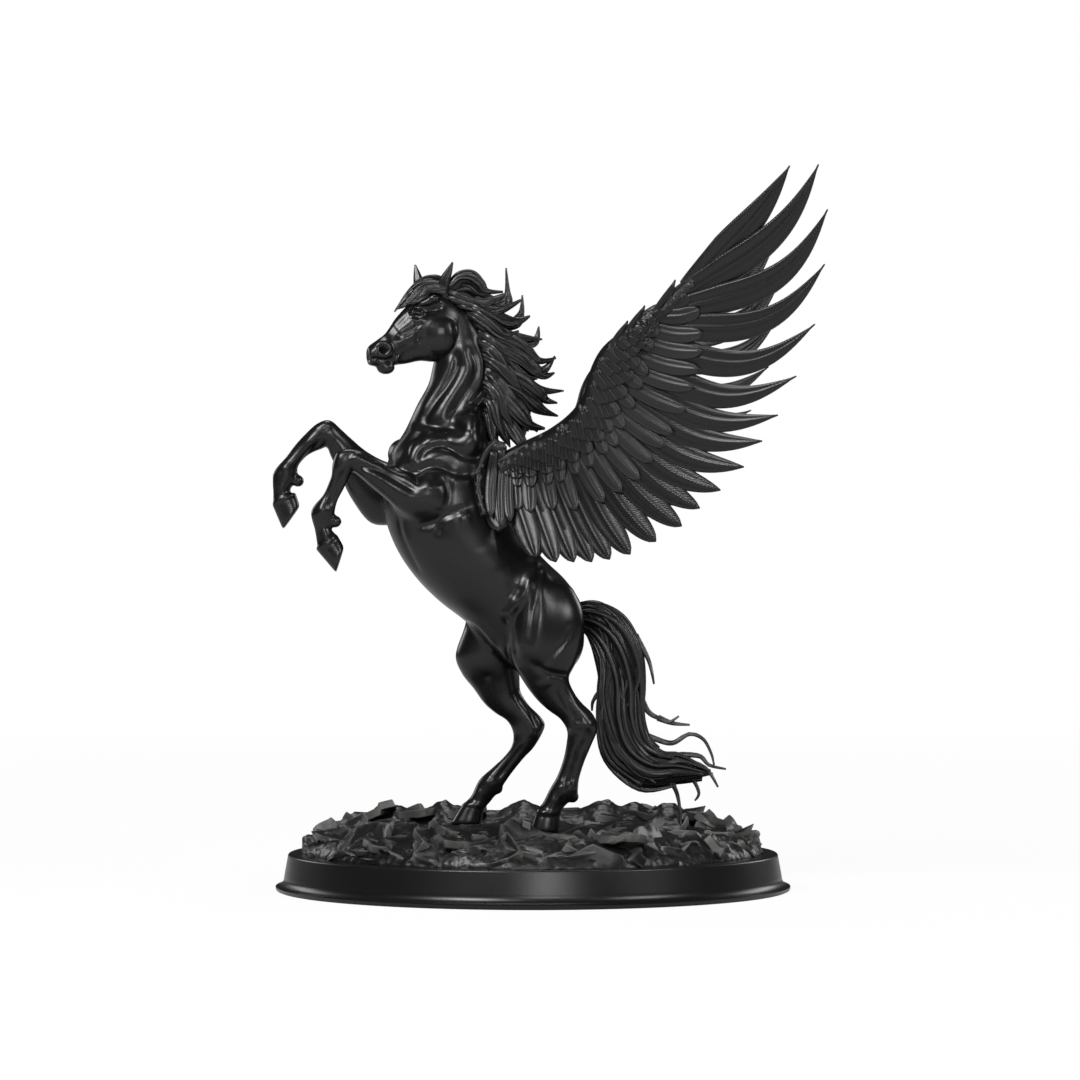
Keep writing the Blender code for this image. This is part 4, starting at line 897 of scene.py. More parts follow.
# the same for the inner sides of the far legs, which show between the near ones
farStrokes = (
    (0.8, 1, (-8.5, 51.0), (-3.3, 43.6), (-0.4, 38.7), (-0.2, 35.0)),
    (-0.8, 1, (-5.4, 51.0), (-1.1, 44.9), (1.4, 39.3)),
    (0.9, 0.9, (-6.6, 33.8), (-11.6, 25.8), (-17.1, 19.0)),
    (-0.8, 0.9, (-4.2, 31.9), (-10.3, 23.9), (-14.7, 18.4)),
    (0.9, 1.1, (-18.7, 17.5), (-18.0, 17.1)),
    (0.7, 0.9, (-20.8, 14.1), (-23.3, 10.4)),
    (0.5, 0.6, (-29.4, 8.8), (-25.7, 8.5), (-19.6, 7.3)),
    (-0.5, 0.5, (-30.7, 7.6), (-25.7, 7.2), (-19.6, 6.2)),
    (-0.6, 1.5, (-17.1, 64.6), (-19.0, 58.4)),
    (0.7, 1, (-88.4, 159.4), (-84.6, 161.5), (-81.4, 161.5)),
    (-0.6, 0.8, (-84.6, 159.4), (-81.9, 160.2)),
    (0.9, 0.9, (-88.4, 156.4), (-93.8, 149.4), (-99.2, 144.6), (-99.7, 142.9)),
    (-0.8, 0.9, (-85.7, 154.8), (-92.2, 147.2), (-95.7, 140.8)),
    (0.6, 0.8, (-91.6, 147.2), (-94.0, 142.9), (-94.6, 140.2)),
    (0.7, 1.3, (-99.7, 143.7), (-99.6, 143.2)),
    (0.6, 0.9, (-101.6, 137.5), (-101.1, 133.2)),
    (0.5, 0.6, (-103.5, 130.0), (-99.7, 131.9), (-95.4, 133.2)),
    (-0.5, 0.5, (-104.0, 128.6), (-99.7, 130.5), (-95.1, 132.1)),
    (-0.9, 1.2, (-80.8, 153.2), (-79.2, 148.3)),
)


def addHoof(bm, leg, sole):
    x1, z1, x2, z2, y, half = leg[-1]
    back, front = Vector((x1, y, z1)), Vector((x2, y, z2))
    if x1 < x2:
        back, front = front, back
    heel, toe = Vector((sole[0], y, sole[1])), Vector((sole[2], y, sole[3]))
    rings = []
    for share, flare in hoofRings:
        one, two = front.lerp(toe, share), back.lerp(heel, share)
        deep = (one - two) / 2 * (1.0 if share < 1 else 0.95)
        rings.append(((one + two) / 2, deep, Vector((0.0, half * flare, 0.0))))
    addSkin(bm, rings[::-1], roundSection(32, 1.1))


def trunkWeight(spots):  # full on the trunk, neck, shoulders and thighs, nothing on the lower legs
    x, z = spots[:, 0], spots[:, 2] - ground
    aboveHocks = np.clip((z - 62.0) / 16.0, 0.0, 1.0)
    behindKnees = np.clip((x + 66.0) / 10.0, 0.0, 1.0)
    return aboveHocks * behindKnees


def buildBody():
    look = bodyLook
    bm = bmesh.new()
    addLimb(bm, trunk, sides=48)
    for leg, sole in legs:
        addLimb(bm, leg)
        addHoof(bm, leg, sole)
    for x, y, z, length, depth, width, tilt in muscles:
        for side in (-1, 1):
            addBall(bm, (x, side * y, z), (length, width, depth), tilt)
    x, y, z, length, depth, width, tilt = farShoulderPoint
    addBall(bm, (x, y, z), (length, width, depth), tilt)
    for place in fetlockTufts:
        addBall(bm, place, (tuftRadius,) * 3)
    bmesh.ops.recalc_face_normals(bm, faces=bm.faces[:])
    piece = makePiece(bm, "horseBody", ground)
    fuseSkin(piece, look["voxel"], look["smoothing"])
    keepOuterShell(piece)
    relax(piece, look["trunkRelax"], trunkWeight)
    carve(piece, bodyStrokes, -1)
    carve(piece, bodyStrokes, 1)
    carve(piece, farStrokes, -1, yLimit=26.0, yStart=4.0)
    relax(piece, look["carvedRelax"])
    thinFaces(piece, look["triangles"])
    return piece


# head

headLook = {"voxel": 0.34, "smoothing": 5, "triangles": 110000, "carvedRelax": 6, "eyeRadius": 1.65}
# sections as those of the trunk, from the muzzle to the poll
head = (
    (-65.4, 184.2, -65.9, 190.9, -10.6, 3.4),
    (-62.6, 183.6, -64.6, 192.4, -10.0, 4.4),
    (-58.8, 183.0, -61.8, 194.4, -8.8, 4.5),
    (-54.9, 184.2, -58.5, 197.2, -7.6, 4.0),
    (-50.6, 184.8, -54.6, 203.1, -6.2, 4.4),
    (-45.1, 186.0, -49.9, 208.4, -4.6, 5.6),
    (-39.5, 185.7, -45.1, 211.6, -3.2, 6.8),
    (-34.0, 187.3, -39.6, 213.7, -1.8, 7.2),
    (-29.2, 192.6, -34.0, 212.2, -0.6, 6.2),
    (-26.0, 198.6, -29.2, 209.0, 0.0, 4.0),
)
# x, y, z, half length, half depth, half width, tilt
headForms = (
    (-37.6, -4.4, 196.6, 9.2, 9.2, 6.6, 0),  # near cheek
    (-58.6, -9.4, 183.2, 3.7, 2.7, 2.5, 0),  # chin
    (-61.4, -12.4, 189.6, 2.4, 1.8, 1.8, 0),  # near nostril
    (-45.4, -8.6, 205.4, 3.6, 1.6, 1.9, 0),  # near eye's socket
    (-38.85, 0.6, 196.6, 9.2, 9.2, 6.6, 0),  # far cheek
    (-62.9, -6.4, 189.6, 2.4, 1.8, 1.8, 0),  # far nostril
    (-47.65, 0.4, 205.4, 3.6, 1.6, 1.9, 0),  # far eye's socket
    (-41.6, -7.0, 209.6, 5.2, 1.8, 2.1, 24),  # near brow
    (-41.6, -2.0, 209.6, 5.2, 1.8, 2.1, 24),  # far brow
)
eyes = ((-46.0, -7.7, 203.4), (-47.6, -1.3, 203.4))
# x, y and z where each ear leaves the head, then x and y of its tip
ears = ((-36.0, -4.6, 216.4, -32.0, -5.4), (-45.0, 1.4, 215.9, -47.2, 3.0))
# height, half width, then x and z: the folds of the face on both sides
headStrokes = (
    (-3.0, 1.2, (-60.2, 190.6), (-59.2, 190.0), (-58.8, 189.4)),
    (1.3, 0.8, (-61.8, 191.4), (-60.2, 192.4), (-58.0, 191.8), (-57.2, 189.6), (-58.6, 188.0)),
    (-1.4, 0.8, (-66.0, 186.0), (-62.0, 186.4), (-58.6, 185.6), (-55.8, 186.4)),
    (1.6, 1.0, (-54.8, 187.2), (-54.2, 186.4)),
    (-1.8, 1.2, (-47.6, 206.4), (-44.4, 206.6), (-40.6, 206.6), (-36.8, 207.4)),
    (1.2, 0.7, (-48.6, 209.6), (-45.6, 212.4), (-43.4, 213.4), (-40.0, 211.6), (-36.4, 209.2)),
    (1.0, 0.6, (-48.9, 203.6), (-47.6, 204.9), (-45.6, 205.2), (-43.4, 204.2)),
    (0.7, 0.5, (-48.6, 202.9), (-47.0, 201.8), (-45.2, 201.7), (-43.6, 202.6)),
    (0.54, 1.2, (-61.2, 192.5), (-58.1, 196.4), (-54.7, 200.9), (-50.2, 205.3), (-45.7, 209.1)),
    (-0.42, 1.2, (-57.4, 194.7), (-54.0, 199.2), (-49.5, 203.6), (-46.4, 206.0)),
    (0.78, 2.1, (-54.0, 197.5), (-51.2, 199.4), (-47.8, 201.6)),
    (-0.48, 1, (-54.7, 194.7), (-50.2, 197.1), (-46.4, 199.2), (-44.7, 201.6)),
    (0.66, 1, (-57.1, 194.4), (-52.9, 194.0), (-48.1, 195.4), (-44.4, 198.4), (-41.3, 201.2), (-38.8, 204.0)),
    (-0.54, 1.1, (-52.3, 192.0), (-47.8, 194.0), (-45.7, 195.8), (-45.4, 197.8)),
    (0.6, 1.4, (-53.6, 188.9), (-52.3, 191.3), (-49.2, 193.0), (-46.4, 193.0)),
    (-0.48, 1.4, (-52.3, 187.5), (-49.5, 189.6), (-45.4, 190.3)),
    (-0.54, 0.75, (-62.5, 185.1), (-58.8, 185.8), (-56.4, 186.7), (-54.9, 187.4)),
    (0.42, 0.88, (-54.9, 186.8), (-55.3, 186.2)),
    (-0.96, 1.2, (-60.1, 190.3), (-59.3, 191.0)),
    (0.48, 0.88, (-62.5, 190.6), (-61.5, 192.3), (-59.1, 193.0), (-57.6, 191.6), (-57.9, 189.2)),
    (-0.84, 1.6, (-47.3, 203.6), (-44.7, 204.7), (-41.6, 205.2), (-37.9, 206.4)),
    (0.48, 1, (-47.8, 205.3), (-46.1, 206.7), (-43.4, 207.1)),
    (0.36, 0.88, (-46.8, 201.9), (-44.0, 202.3), (-42.0, 202.9)),
    (-0.78, 1.1, (-31.4, 201.2), (-30.2, 197.1), (-30.9, 191.6), (-34.4, 186.8), (-37.9, 185.5)),
    (-0.48, 1.1, (-45.4, 197.1), (-45.7, 193.0), (-44.0, 188.9)),
)


def addEar(bm, x, y, z, tipX, tipY):
    # a pointed leaf whose root goes on into the head
    rows = [(x + 2.5, mix(y, -3.0, 0.6), z - 7.5, 1.6), (x + 0.6, y, z - 3.2, 1.8)]
    for share, rise, radius in ((0.2, 1.2, 2.2), (0.6, 5.0, 1.5), (1.0, 9.0, 0.35)):
        rows.append((mix(x, tipX, share), mix(y, tipY, share), z + rise, radius))
    addLock(bm, rows, flat=0.7, ridges=2, depth=0.16, twist=0.2)


def buildHead():
    look = headLook
    bm = bmesh.new()
    addLimb(bm, head, sides=40)
    for x, y, z, length, depth, width, tilt in headForms:
        addBall(bm, (x, y, z), (length, width, depth), tilt)
    bmesh.ops.recalc_face_normals(bm, faces=bm.faces[:])
    piece = makePiece(bm, "horseHead", ground)
    fuseSkin(piece, look["voxel"], look["smoothing"])
    keepOuterShell(piece)
    carve(piece, headStrokes, -1)
    carve(piece, headStrokes, 1)
    relax(piece, look["carvedRelax"])
    thinFaces(piece, look["triangles"])
    extra = bmesh.new()
    for place in eyes:
        addBall(extra, place, (look["eyeRadius"],) * 3)
    for ear in ears:
        addEar(extra, *ear)
    bmesh.ops.recalc_face_normals(extra, faces=extra.faces[:])
    toMetres(extra, ground)
    whole = bmesh.new()
    whole.from_mesh(piece.data)
    joinInto(whole, extra)
    whole.to_mesh(piece.data)
    whole.free()
    return piece


# mane and forelock

hairLook = {
    "sides": 20, "ridges": 4, "grooves": 0.14, "taperFrom": 0.45, "tipRadius": 0.35, "rootShare": 0.25,
    "winding": 2.2, "standOff": 0.72, "strandShare": 0.42, "tuck": 4.5,
}
# y at the root and the tip, half width, then the x and z of its points: each is made on both sides
maneLocks = (
    (-3.0, -3.0, 2.6, (-33.1, 215.9), (-29.4, 219.2), (-24.8, 219.8), (-21.1, 217.2), (-18.4, 214.2),
     (-12.0, 213.9)),
    (-5.0, -5.0, 2.4, (-31.5, 211.8), (-25.1, 209.6), (-19.0, 209.2), (-13.5, 211.5), (-11.0, 213.0)),
    (-5.0, -4.0, 2.2, (-26.9, 208.1), (-20.8, 206.9), (-15.3, 206.3), (-9.2, 208.1), (-4.9, 210.6)),
    (-5.0, -2.0, 2.8, (-22.7, 207.0), (-15.9, 203.9), (-10.1, 201.5), (-5.2, 202.2), (-1.2, 204.2)),
    (-6.0, -4.0, 2.6, (-22.0, 203.9), (-15.3, 199.0), (-10.4, 196.2), (-5.7, 198.2)),
    (-5.0, -1.0, 3.0, (-20.2, 201.5), (-12.9, 196.6), (-4.9, 195.4), (3.7, 194.9)),
    (-6.0, -2.0, 3.4, (-18.4, 194.1), (-12.3, 189.9), (-4.9, 186.8), (1.2, 181.3), (4.5, 179.2)),
    (-4.0, -1.0, 3.0, (-18.5, 197.5), (-11.1, 195.5), (-3.7, 191.8), (2.4, 186.3), (9.2, 187.4)),
    (-4.0, -1.0, 2.8, (-16.5, 192.0), (-6.2, 188.2), (0.6, 182.6), (4.8, 180.2), (8.6, 181.5)),
    (-7.0, -6.0, 2.6, (-16.5, 190.4), (-11.6, 184.9), (-8.6, 180.6), (-7.5, 177.2)),
    (-7.0, -5.0, 2.8, (-15.9, 185.5), (-10.4, 181.2), (-6.1, 175.7), (-3.3, 169.3)),
    (-4.0, -1.0, 3.2, (-17.5, 184.0), (-11.1, 182.0), (-2.5, 176.5), (4.8, 174.3), (12.3, 174.3)),
    (-5.0, -2.0, 3.0, (-16.5, 182.0), (-4.9, 178.5), (2.4, 173.2), (5.4, 170.4), (9.7, 169.4)),
    (-7.0, -6.0, 2.6, (-15.9, 179.4), (-11.0, 173.3), (-6.8, 169.6), (-4.0, 166.4)),
    (-5.0, -3.0, 3.2, (-17.0, 178.0), (-6.2, 173.4), (0.6, 168.5), (4.8, 166.0), (10.0, 164.2)),
    (-8.0, -8.0, 2.6, (-16.2, 174.5), (-12.8, 168.4), (-9.8, 162.9), (-8.0, 159.7)),
    (-6.0, -6.0, 2.8, (-17.0, 173.0), (-8.6, 169.6), (-3.7, 164.1), (-0.7, 160.5), (1.8, 158.0)),
    (-8.0, -9.0, 2.6, (-16.8, 169.6), (-14.1, 161.6), (-11.0, 155.5), (-9.2, 151.9)),
    (-7.0, -7.0, 2.8, (-16.5, 176.0), (-6.8, 165.3), (-1.3, 160.5), (4.8, 159.2)),
    (-6.0, -3.0, 2.8, (-17.5, 189.5), (-12.3, 186.8), (-3.7, 180.1), (1.8, 179.2)),
    (-7.0, -9.0, 2.4, (-17.7, 164.7), (-16.5, 158.6), (-15.3, 153.1), (-13.5, 149.5)),
    (-5.0, -9.0, 3.0, (-16.0, 168.0), (-8.0, 158.0), (-3.0, 152.0), (1.0, 149.0)),
)
# the locks along the middle, and the forelock
middleLocks = (
    (0.0, 0.0, 3.4, (-34.0, 212.5), (-27.0, 215.0), (-21.0, 212.5), (-13.5, 211.0)),
    (0.0, 0.0, 3.8, (-35.0, 211.0), (-28.0, 211.5), (-22.0, 208.0), (-15.0, 202.0)),
    (0.0, 0.0, 2.6, (-22.0, 204.0), (-13.5, 207.4), (-10.8, 209.6), (-10.2, 213.9), (-10.8, 223.4)),
    (0.0, 1.0, 2.4, (-19.0, 199.0), (-9.2, 201.0), (-5.9, 202.7), (-4.5, 206.4), (-4.3, 212.6)),
    (0.0, 0.0, 2.4, (-17.0, 192.0), (-5.0, 193.0), (-0.1, 193.7), (1.6, 195.9), (2.3, 200.0)),
    (0.0, 0.0, 2.4, (-12.0, 184.0), (0.0, 182.0), (5.0, 183.0), (8.8, 188.2)),
    (0.0, 0.0, 4.0, (-24.0, 210.0), (-15.0, 200.0), (-8.0, 186.0), (-3.0, 170.0), (-2.0, 158.0)),
    (0.0, 0.0, 4.0, (-18.0, 180.0), (-8.0, 172.0), (-4.0, 162.0), (-6.0, 150.0)),
)
foreLocks = (
    (-2.0, -6.0, 2.2, (-34.0, 215.7), (-39.6, 218.3), (-43.9, 217.3), (-47.9, 214.3), (-51.4, 210.7),
     (-55.2, 205.6)),
    (-4.0, -8.5, 2.0, (-34.0, 215.3), (-41.2, 216.3), (-45.2, 213.9), (-48.5, 210.7), (-51.5, 207.9),
     (-54.1, 206.6)),
    (-6.0, -9.0, 1.9, (-35.0, 213.9), (-41.2, 214.3), (-43.8, 212.0), (-46.8, 209.6), (-49.8, 208.8)),
    (-1.0, -3.5, 2.0, (-33.0, 214.7), (-37.4, 218.5), (-41.4, 218.6), (-46.5, 215.9), (-50.5, 211.3)),
    (1.0, -1.5, 2.0, (-33.0, 213.2), (-39.0, 216.7), (-44.5, 214.5), (-49.0, 209.9), (-52.5, 207.4)),
    (3.5, 2.0, 2.0, (-33.0, 212.2), (-38.5, 214.3), (-43.5, 211.3), (-47.0, 208.4)),
)


def addHair(bm, lock, side=1.0, strands=3, seed=0.0, tuck=0.0, early=0.0):
    # a lock with finer strands that wind along it. tuck: how far its root goes on into the skin.
    # early: the share of its length over which it swells out of the hair beneath.
    look = hairLook
    rootY, tipY, half, *line = lock
    rows = []
    for i, (x, z) in enumerate(line):
        t = i / (len(line) - 1)
        narrow = max(t - look["taperFrom"], 0.0) / (1 - look["taperFrom"])
        grown = min(t / early, 1.0) if early else 1.0
        radius = mix(half, look["tipRadius"], narrow) * mix(look["rootShare"], 1.0, grown)
        y = side * mix(rootY, tipY, t) * mix(0.35, 1.0, grown)
        rows.append((x, y, z, max(radius, look["tipRadius"])))
    if tuck:
        x, y, z, radius = rows[0]
        rows.insert(0, (x - tuck, y * 0.3, z + tuck * 0.4, radius * 0.8))
    addLock(bm, rows, sides=look["sides"], ridges=look["ridges"], depth=look["grooves"], start=seed)
    smooth = smoothRows(rows, 3)
    centres = [Vector(row[:3]) for row in smooth]
    for k in range(strands):
        wound = []
        for i, (row, centre, along) in enumerate(zip(smooth, centres, directions(centres))):
            t = i / (len(smooth) - 1)
            turn = seed + k * 2 * math.pi / strands + look["winding"] * t
            deep = along.cross(Vector((0.0, 1.0, 0.0))).normalized()
            wide = along.cross(deep).normalized()
            away = row[3] * look["standOff"] * math.sin(math.pi * between(0.0, 0.12 + 0.88 * t, 1.0)) ** 0.5
            place = centre + deep * away * math.cos(turn) + wide * away * 0.75 * math.sin(turn)
            radius = row[3] * look["strandShare"] * min(1.0, 2.4 - 2.2 * t)
            wound.append((*place, max(radius, look["tipRadius"])))
        addLock(bm, wound, flat=0.9, steps=2, sides=12, ridges=3, depth=0.14, start=seed + k)


def buildMane():
    bm = bmesh.new()
    for k, lock in enumerate(maneLocks):
        for side in (1.0, -1.0):
            addHair(bm, lock, side, seed=k * 1.3 + side, tuck=hairLook["tuck"])
    for k, lock in enumerate(middleLocks + foreLocks):
        addHair(bm, lock, seed=k * 0.9)
    return makePiece(bm, "maneHair", ground)


# tail

tailLook = {
    "coreShare": 0.76, "strands": 32, "strandRadius": 2.0, "strandTip": 0.5, "strandTurn": 2.39996,
    "twist": 1.6, "bundleEarly": 0.22, "wispRoot": 1.35, "wispTip": 0.45, "wispSway": 1.5,
}
# x, z, half depth and half thickness along the tail
tail = (
    (13.0, 84.0, 4.0, 4.0), (22.0, 84.6, 6.8, 5.0), (30.0, 79.6, 9.2, 6.0), (34.8, 70.0, 10.2, 6.6),
    (36.6, 58.0, 10.0, 6.6), (35.6, 44.0, 10.2, 6.2), (38.0, 31.4, 10.6, 5.8), (46.5, 23.4, 10.0, 5.4),
    (58.0, 22.2, 6.4, 4.4), (68.0, 20.6, 2.6, 2.6),
)
# x and z of the loose ends that curl away from it
wisps = (
    ((43.0, 52.0), (46.0, 46.0), (50.0, 43.4), (54.4, 41.8), (58.4, 44.2)),
    ((50.0, 43.4), (56.0, 41.2), (62.8, 40.6)),
    ((42.0, 38.0), (48.0, 35.4), (55.6, 33.4), (62.4, 37.0), (68.0, 35.0), (71.2, 29.4), (72.4, 24.6)),
    ((47.0, 20.4), (54.4, 17.8), (57.2, 14.2), (58.6, 8.0), (59.2, 0.5)),
    ((42.8, 24.6), (58.4, 21.0), (63.6, 19.0), (66.4, 13.4), (64.8, 10.2)),
    ((50.8, 28.6), (65.6, 28.4), (70.4, 24.6), (77.2, 23.0)),
    ((58.0, 27.4), (68.8, 23.4), (74.0, 15.8)),
    ((28.8, 62.6), (26.6, 54.6), (24.0, 50.0), (23.6, 46.2)),
    ((40.8, 76.6), (46.2, 66.6), (48.4, 57.0)),
)
# locks across its near and far face, listed as those of the mane
tailBundles = (
    (-2.0, -6.0, 2.4, (12.5, 84.5), (19.7, 88.0), (27.0, 87.3), (34.9, 80.6), (40.5, 72.0), (42.3, 62.9),
     (41.1, 55.5), (37.4, 48.2)),
    (-2.0, -6.8, 2.2, (12.5, 83.5), (20.3, 86.4), (27.6, 84.3), (33.1, 76.9), (36.8, 68.4),
     (38.0, 60.4), (35.5, 50.7)),
    (-2.0, -6.6, 2.2, (13.0, 83.0), (20.0, 86.0), (25.8, 82.0), (29.4, 73.9), (30.7, 62.9),
     (28.2, 51.9), (27.4, 42.7)),
    (-5.5, -4.0, 2.4, (25.6, 74.5), (28.0, 62.9), (28.2, 51.9), (31.2, 39.6), (35.4, 30.5),
     (41.6, 22.5), (49.0, 17.6)),
    (-6.6, -3.0, 2.6, (33.1, 70.2), (34.9, 58.0), (35.5, 45.8), (38.0, 36.6), (43.5, 28.7),
     (51.4, 25.0), (59.4, 26.4),
     (71.0, 22.4)),
    (-5.5, -2.0, 2.4, (40.5, 65.1), (40.6, 51.8), (41.8, 40.8), (45.0, 33.5), (51.5, 28.8),
     (58.8, 28.6), (70.0, 22.8)),
    (-5.0, -2.0, 2.4, (28.0, 48.8), (31.2, 36.5), (37.2, 27.4), (44.1, 21.3), (52.7, 20.7),
     (61.2, 23.3), (68.6, 22.0)),
)


def addTailStrand(bm, k):
    # strands wind round the core, some further out and some ending earlier than others
    look = tailLook
    out = 0.55 + 0.36 * ((k * 7) % 5) / 4
    reach = 1.0 - 0.25 * ((k * 3) % 4) / 3
    rows = []
    for i, (x, z, depth, thick) in enumerate(tail):
        t = i / (len(tail) - 1)
        if t > reach + 0.05:
            break
        turn = k * look["strandTurn"] + look["twist"] * t
        ahead, behind = tail[min(i + 1, len(tail) - 1)], tail[max(i - 1, 0)]
        along = Vector((ahead[0] - behind[0], 0.0, ahead[1] - behind[1])).normalized()
        place = Vector((x, 0.0, z)) + Vector((-along.z, 0.0, along.x)) * depth * out * math.cos(turn)
        place.y += thick * out * math.sin(turn)
        fade = min(t / 0.15, 1.0) * min((reach + 0.1 - t) / 0.3, 1.0)
        rows.append((*place, max(look["strandRadius"] * fade, look["strandTip"])))
    addLock(bm, rows, flat=0.85, steps=6, sides=16, ridges=3, depth=0.15, start=k * 1.1)


def buildTail():
    look = tailLook
    bm = bmesh.new()
    core = [(x, 0.0, z, depth * look["coreShare"]) for x, z, depth, thick in tail[:-1]]
    core.append((tail[-1][0] + 4.0, 0.0, tail[-1][1] + 0.5, 0.4))
    addLock(bm, core, flat=0.62, sides=48, ridges=9, depth=0.07, twist=2.0)
    for k in range(look["strands"]):
        addTailStrand(bm, k)
    for k, bundle in enumerate(tailBundles):
        for side in (1.0, -1.0):
            addHair(bm, bundle, side, strands=5, seed=k * 0.7, early=look["bundleEarly"])
    for k, line in enumerate(wisps):
        rows = []
        for i, (x, z) in enumerate(line):
            radius = mix(look["wispRoot"], look["wispTip"], i / (len(line) - 1))
            rows.append((x, look["wispSway"] * math.sin(k * 2.0), z, radius))
        addLock(bm, rows, flat=1.0, sides=10, ridges=2, depth=0.06)
    return makePiece(bm, "tailHair", ground)


# wings

wingLook = {
    "shoulder": (-11.2, 142.6), "rootY": 17.0, "spread": 0.45, "curl": 0.0009, "roll": 9.0,
    "armRadius": 4.6, "handRadius": 2.2, "flightHalfWidth": 6.0, "flightThickness": 1.7,
    "lesserRows": 4, "lesserPerRow": 15, "lesserHalfWidth": 2.8, "lesserThickness": 2.0,
    "armBeads": 30, "rootBeads": 9, "rootStripRadius": 1.9, "edgeStripRadius": 1.1,
    "farSwing": 9.2, "farPitch": 4.6, "farSize": 0.945, "farRise": 1.2,
}
# x and z of the arm from the shoulder to the hand
arm = (
    (-14, 143), (-3, 149), (8, 154.5), (17, 161.5), (23, 170),
    (25.5, 180), (30, 188.5), (40, 196.5), (51, 204.5), (62, 214.5),
)
# tip x, tip z, and how far the middle sags, as a share of the length
flight = (
    (99, 258.8, 0.04), (110, 259.2, 0.10), (113.6, 242, 0.15), (112.6, 221, 0.17), (109, 198, 0.175),
    (102, 178, 0.165), (95, 163, 0.14), (89, 153, 0.13), (82, 143, 0.12), (73, 134, 0.10),
    (65, 127, 0.07), (58, 120, 0.06), (48, 114, 0.05), (38, 109, 0.04), (30, 107, 0.03), (23, 106, 0.02),
    (16, 106, 0.01), (9, 106, 0.0), (1, 108, 0.0),
)
# x and z of the tips of the two rows of coverts
greaterTips = (
    (60, 210), (65, 204), (66, 195), (66, 188), (65, 181), (63, 174), (60, 165), (55, 156), (52, 151),
    (47, 145), (42, 138), (35, 133), (28, 129), (17, 126), (8, 126), (-1, 125), (-6, 126), (-11, 127),
)
medianTips = (
    (42, 198), (48, 194), (47, 189), (45, 179), (43, 174), (40, 166), (36, 158), (33, 151), (29, 148),
    (23, 143), (17, 140), (11, 137), (6, 136), (-1, 135), (-6, 135), (-10, 136),
)
# half width, thickness, and how far root and tip stand off the wing's middle
coverts = ((greaterTips, 3.3, 1.5, (0.8, 1.3)), (medianTips, 2.9, 1.6, (1.4, 2.1)))
# x and z of the root and the tip
rootFeathers = (
    ((-15.4, 150.0), (-16.4, 123.0)), ((-12.4, 151.0), (-12.6, 119.0)), ((-9.6, 149.0), (-8.8, 121.0)),
)
leadingFeathers = (
    ((46.0, 200.5), (55.2, 215.4)), ((35.6, 193.6), (43.4, 205.6)), ((30.0, 188.6), (36.8, 199.8)),
    ((47.0, 199.6), (57.8, 211.4)), ((38.0, 194.2), (47.8, 202.8)), ((28.4, 180.8), (32.6, 193.0)),
)
# x and z down the seam where the wing meets the body, and of the plate behind it
rootStrip = ((-14.0, 153.5), (-18.5, 149.0), (-21.4, 141.0), (-21.2, 132.0), (-19.0, 124.5))
rootPlate = ((-14.5, 153.0), (-13.5, 118.0))


def wingPlace(x, z):  # the near wing's middle, which spreads from the shoulder and curls back in
    look = wingLook
    reach = math.hypot(x - look["shoulder"][0], z - look["shoulder"][1])
    return Vector((x, -(look["rootY"] + look["spread"] * reach - look["curl"] * reach**2), z))


# across and over of a vane: a quill along the middle, hollow vanes and a thicker rim
vaneSection = (
    (1.0, 0.0), (0.86, 0.85), (0.5, 0.72), (0.15, 0.85), (0.0, 1.7), (-0.15, 0.85), (-0.5, 0.72),
    (-0.86, 0.85), (-1.0, 0.0), (-0.86, -0.85), (-0.5, -0.72), (-0.15, -0.85), (0.0, -1.7),
    (0.15, -0.85), (0.5, -0.72), (0.86, -0.85),
)
plateSection = (
    (1.0, 0.0), (0.9, 0.55), (0.5, 0.95), (0.0, 1.0), (-0.5, 0.95), (-0.9, 0.55),
    (-1.0, 0.0), (-0.9, -0.55), (-0.5, -0.95), (0.0, -1.0), (0.5, -0.95), (0.9, -0.55),
)


def addFeather(bm, root, tip, halfWidth, thickness, sharp=0.0, bend=0.0, lift=(0.0, 0.0), steps=16,
               mark=0.0, section=vaneSection):
    # sharp: 0 is a round tip, 1 a pointed one. bend: how far the middle sags, as a share of the length.
    # lift: how far its root and tip stand off the wing's middle, outwards. mark: kept in its grain.
    chord = Vector((tip[0] - root[0], tip[1] - root[1]))
    side = Vector((-chord.y, chord.x)).normalized()
    places = []
    for i in range(steps + 1):
        t = i / steps
        line = Vector(root) + chord * t - side * bend * chord.length * math.sin(math.pi * t**1.35)
        places.append(wingPlace(line.x, line.y))
    rings, widths = [], []
    for i, (place, along) in enumerate(zip(places, directions(places))):
        t = i / steps
        swell = mix(0.62, 1.0, min(t / 0.35, 1.0))
        start = mix(0.6, 0.4, sharp)
        fall = max(t - start, 0.0) / (1 - start)
        taper = max(1 - fall ** mix(3.0, 1.7, sharp), 0.0) ** mix(0.5, 1.0, sharp)
        width = max(halfWidth * swell * taper, 0.3)
        out = along.cross(Vector((side.x, 0.0, side.y))).normalized()
        out = -out if out.y > 0 else out
        across = out.cross(along).normalized()
        roll = math.radians(wingLook["roll"])
        deep = (across * math.cos(roll) + out * math.sin(roll)) * width
        thick = max(thickness / 2 * mix(1.0, 0.55, t), 0.3)
        rings.append((place + out * mix(*lift, t), deep, along.cross(deep).normalized() * thick))
        widths.append(width)
    widths = np.array(widths)
    length = chord.length

    def grain(level, around, across, over):
        return np.stack([across * widths[level], level / steps * length, np.full(len(level), mark)], axis=1)

    addSkin(bm, rings, section, grain)


def armRadius(share):
    return mix(wingLook["armRadius"], wingLook["handRadius"], share)


def addArm(bm):
    smoothArm = smoothRows(arm, 3)
    rows = []
    for i, (x, z) in enumerate(smoothArm):
        rows.append((*wingPlace(x, z), armRadius(i / (len(smoothArm) - 1))))
    addLock(bm, rows, flat=0.9, steps=2, sides=24, ridges=3, depth=0.03)


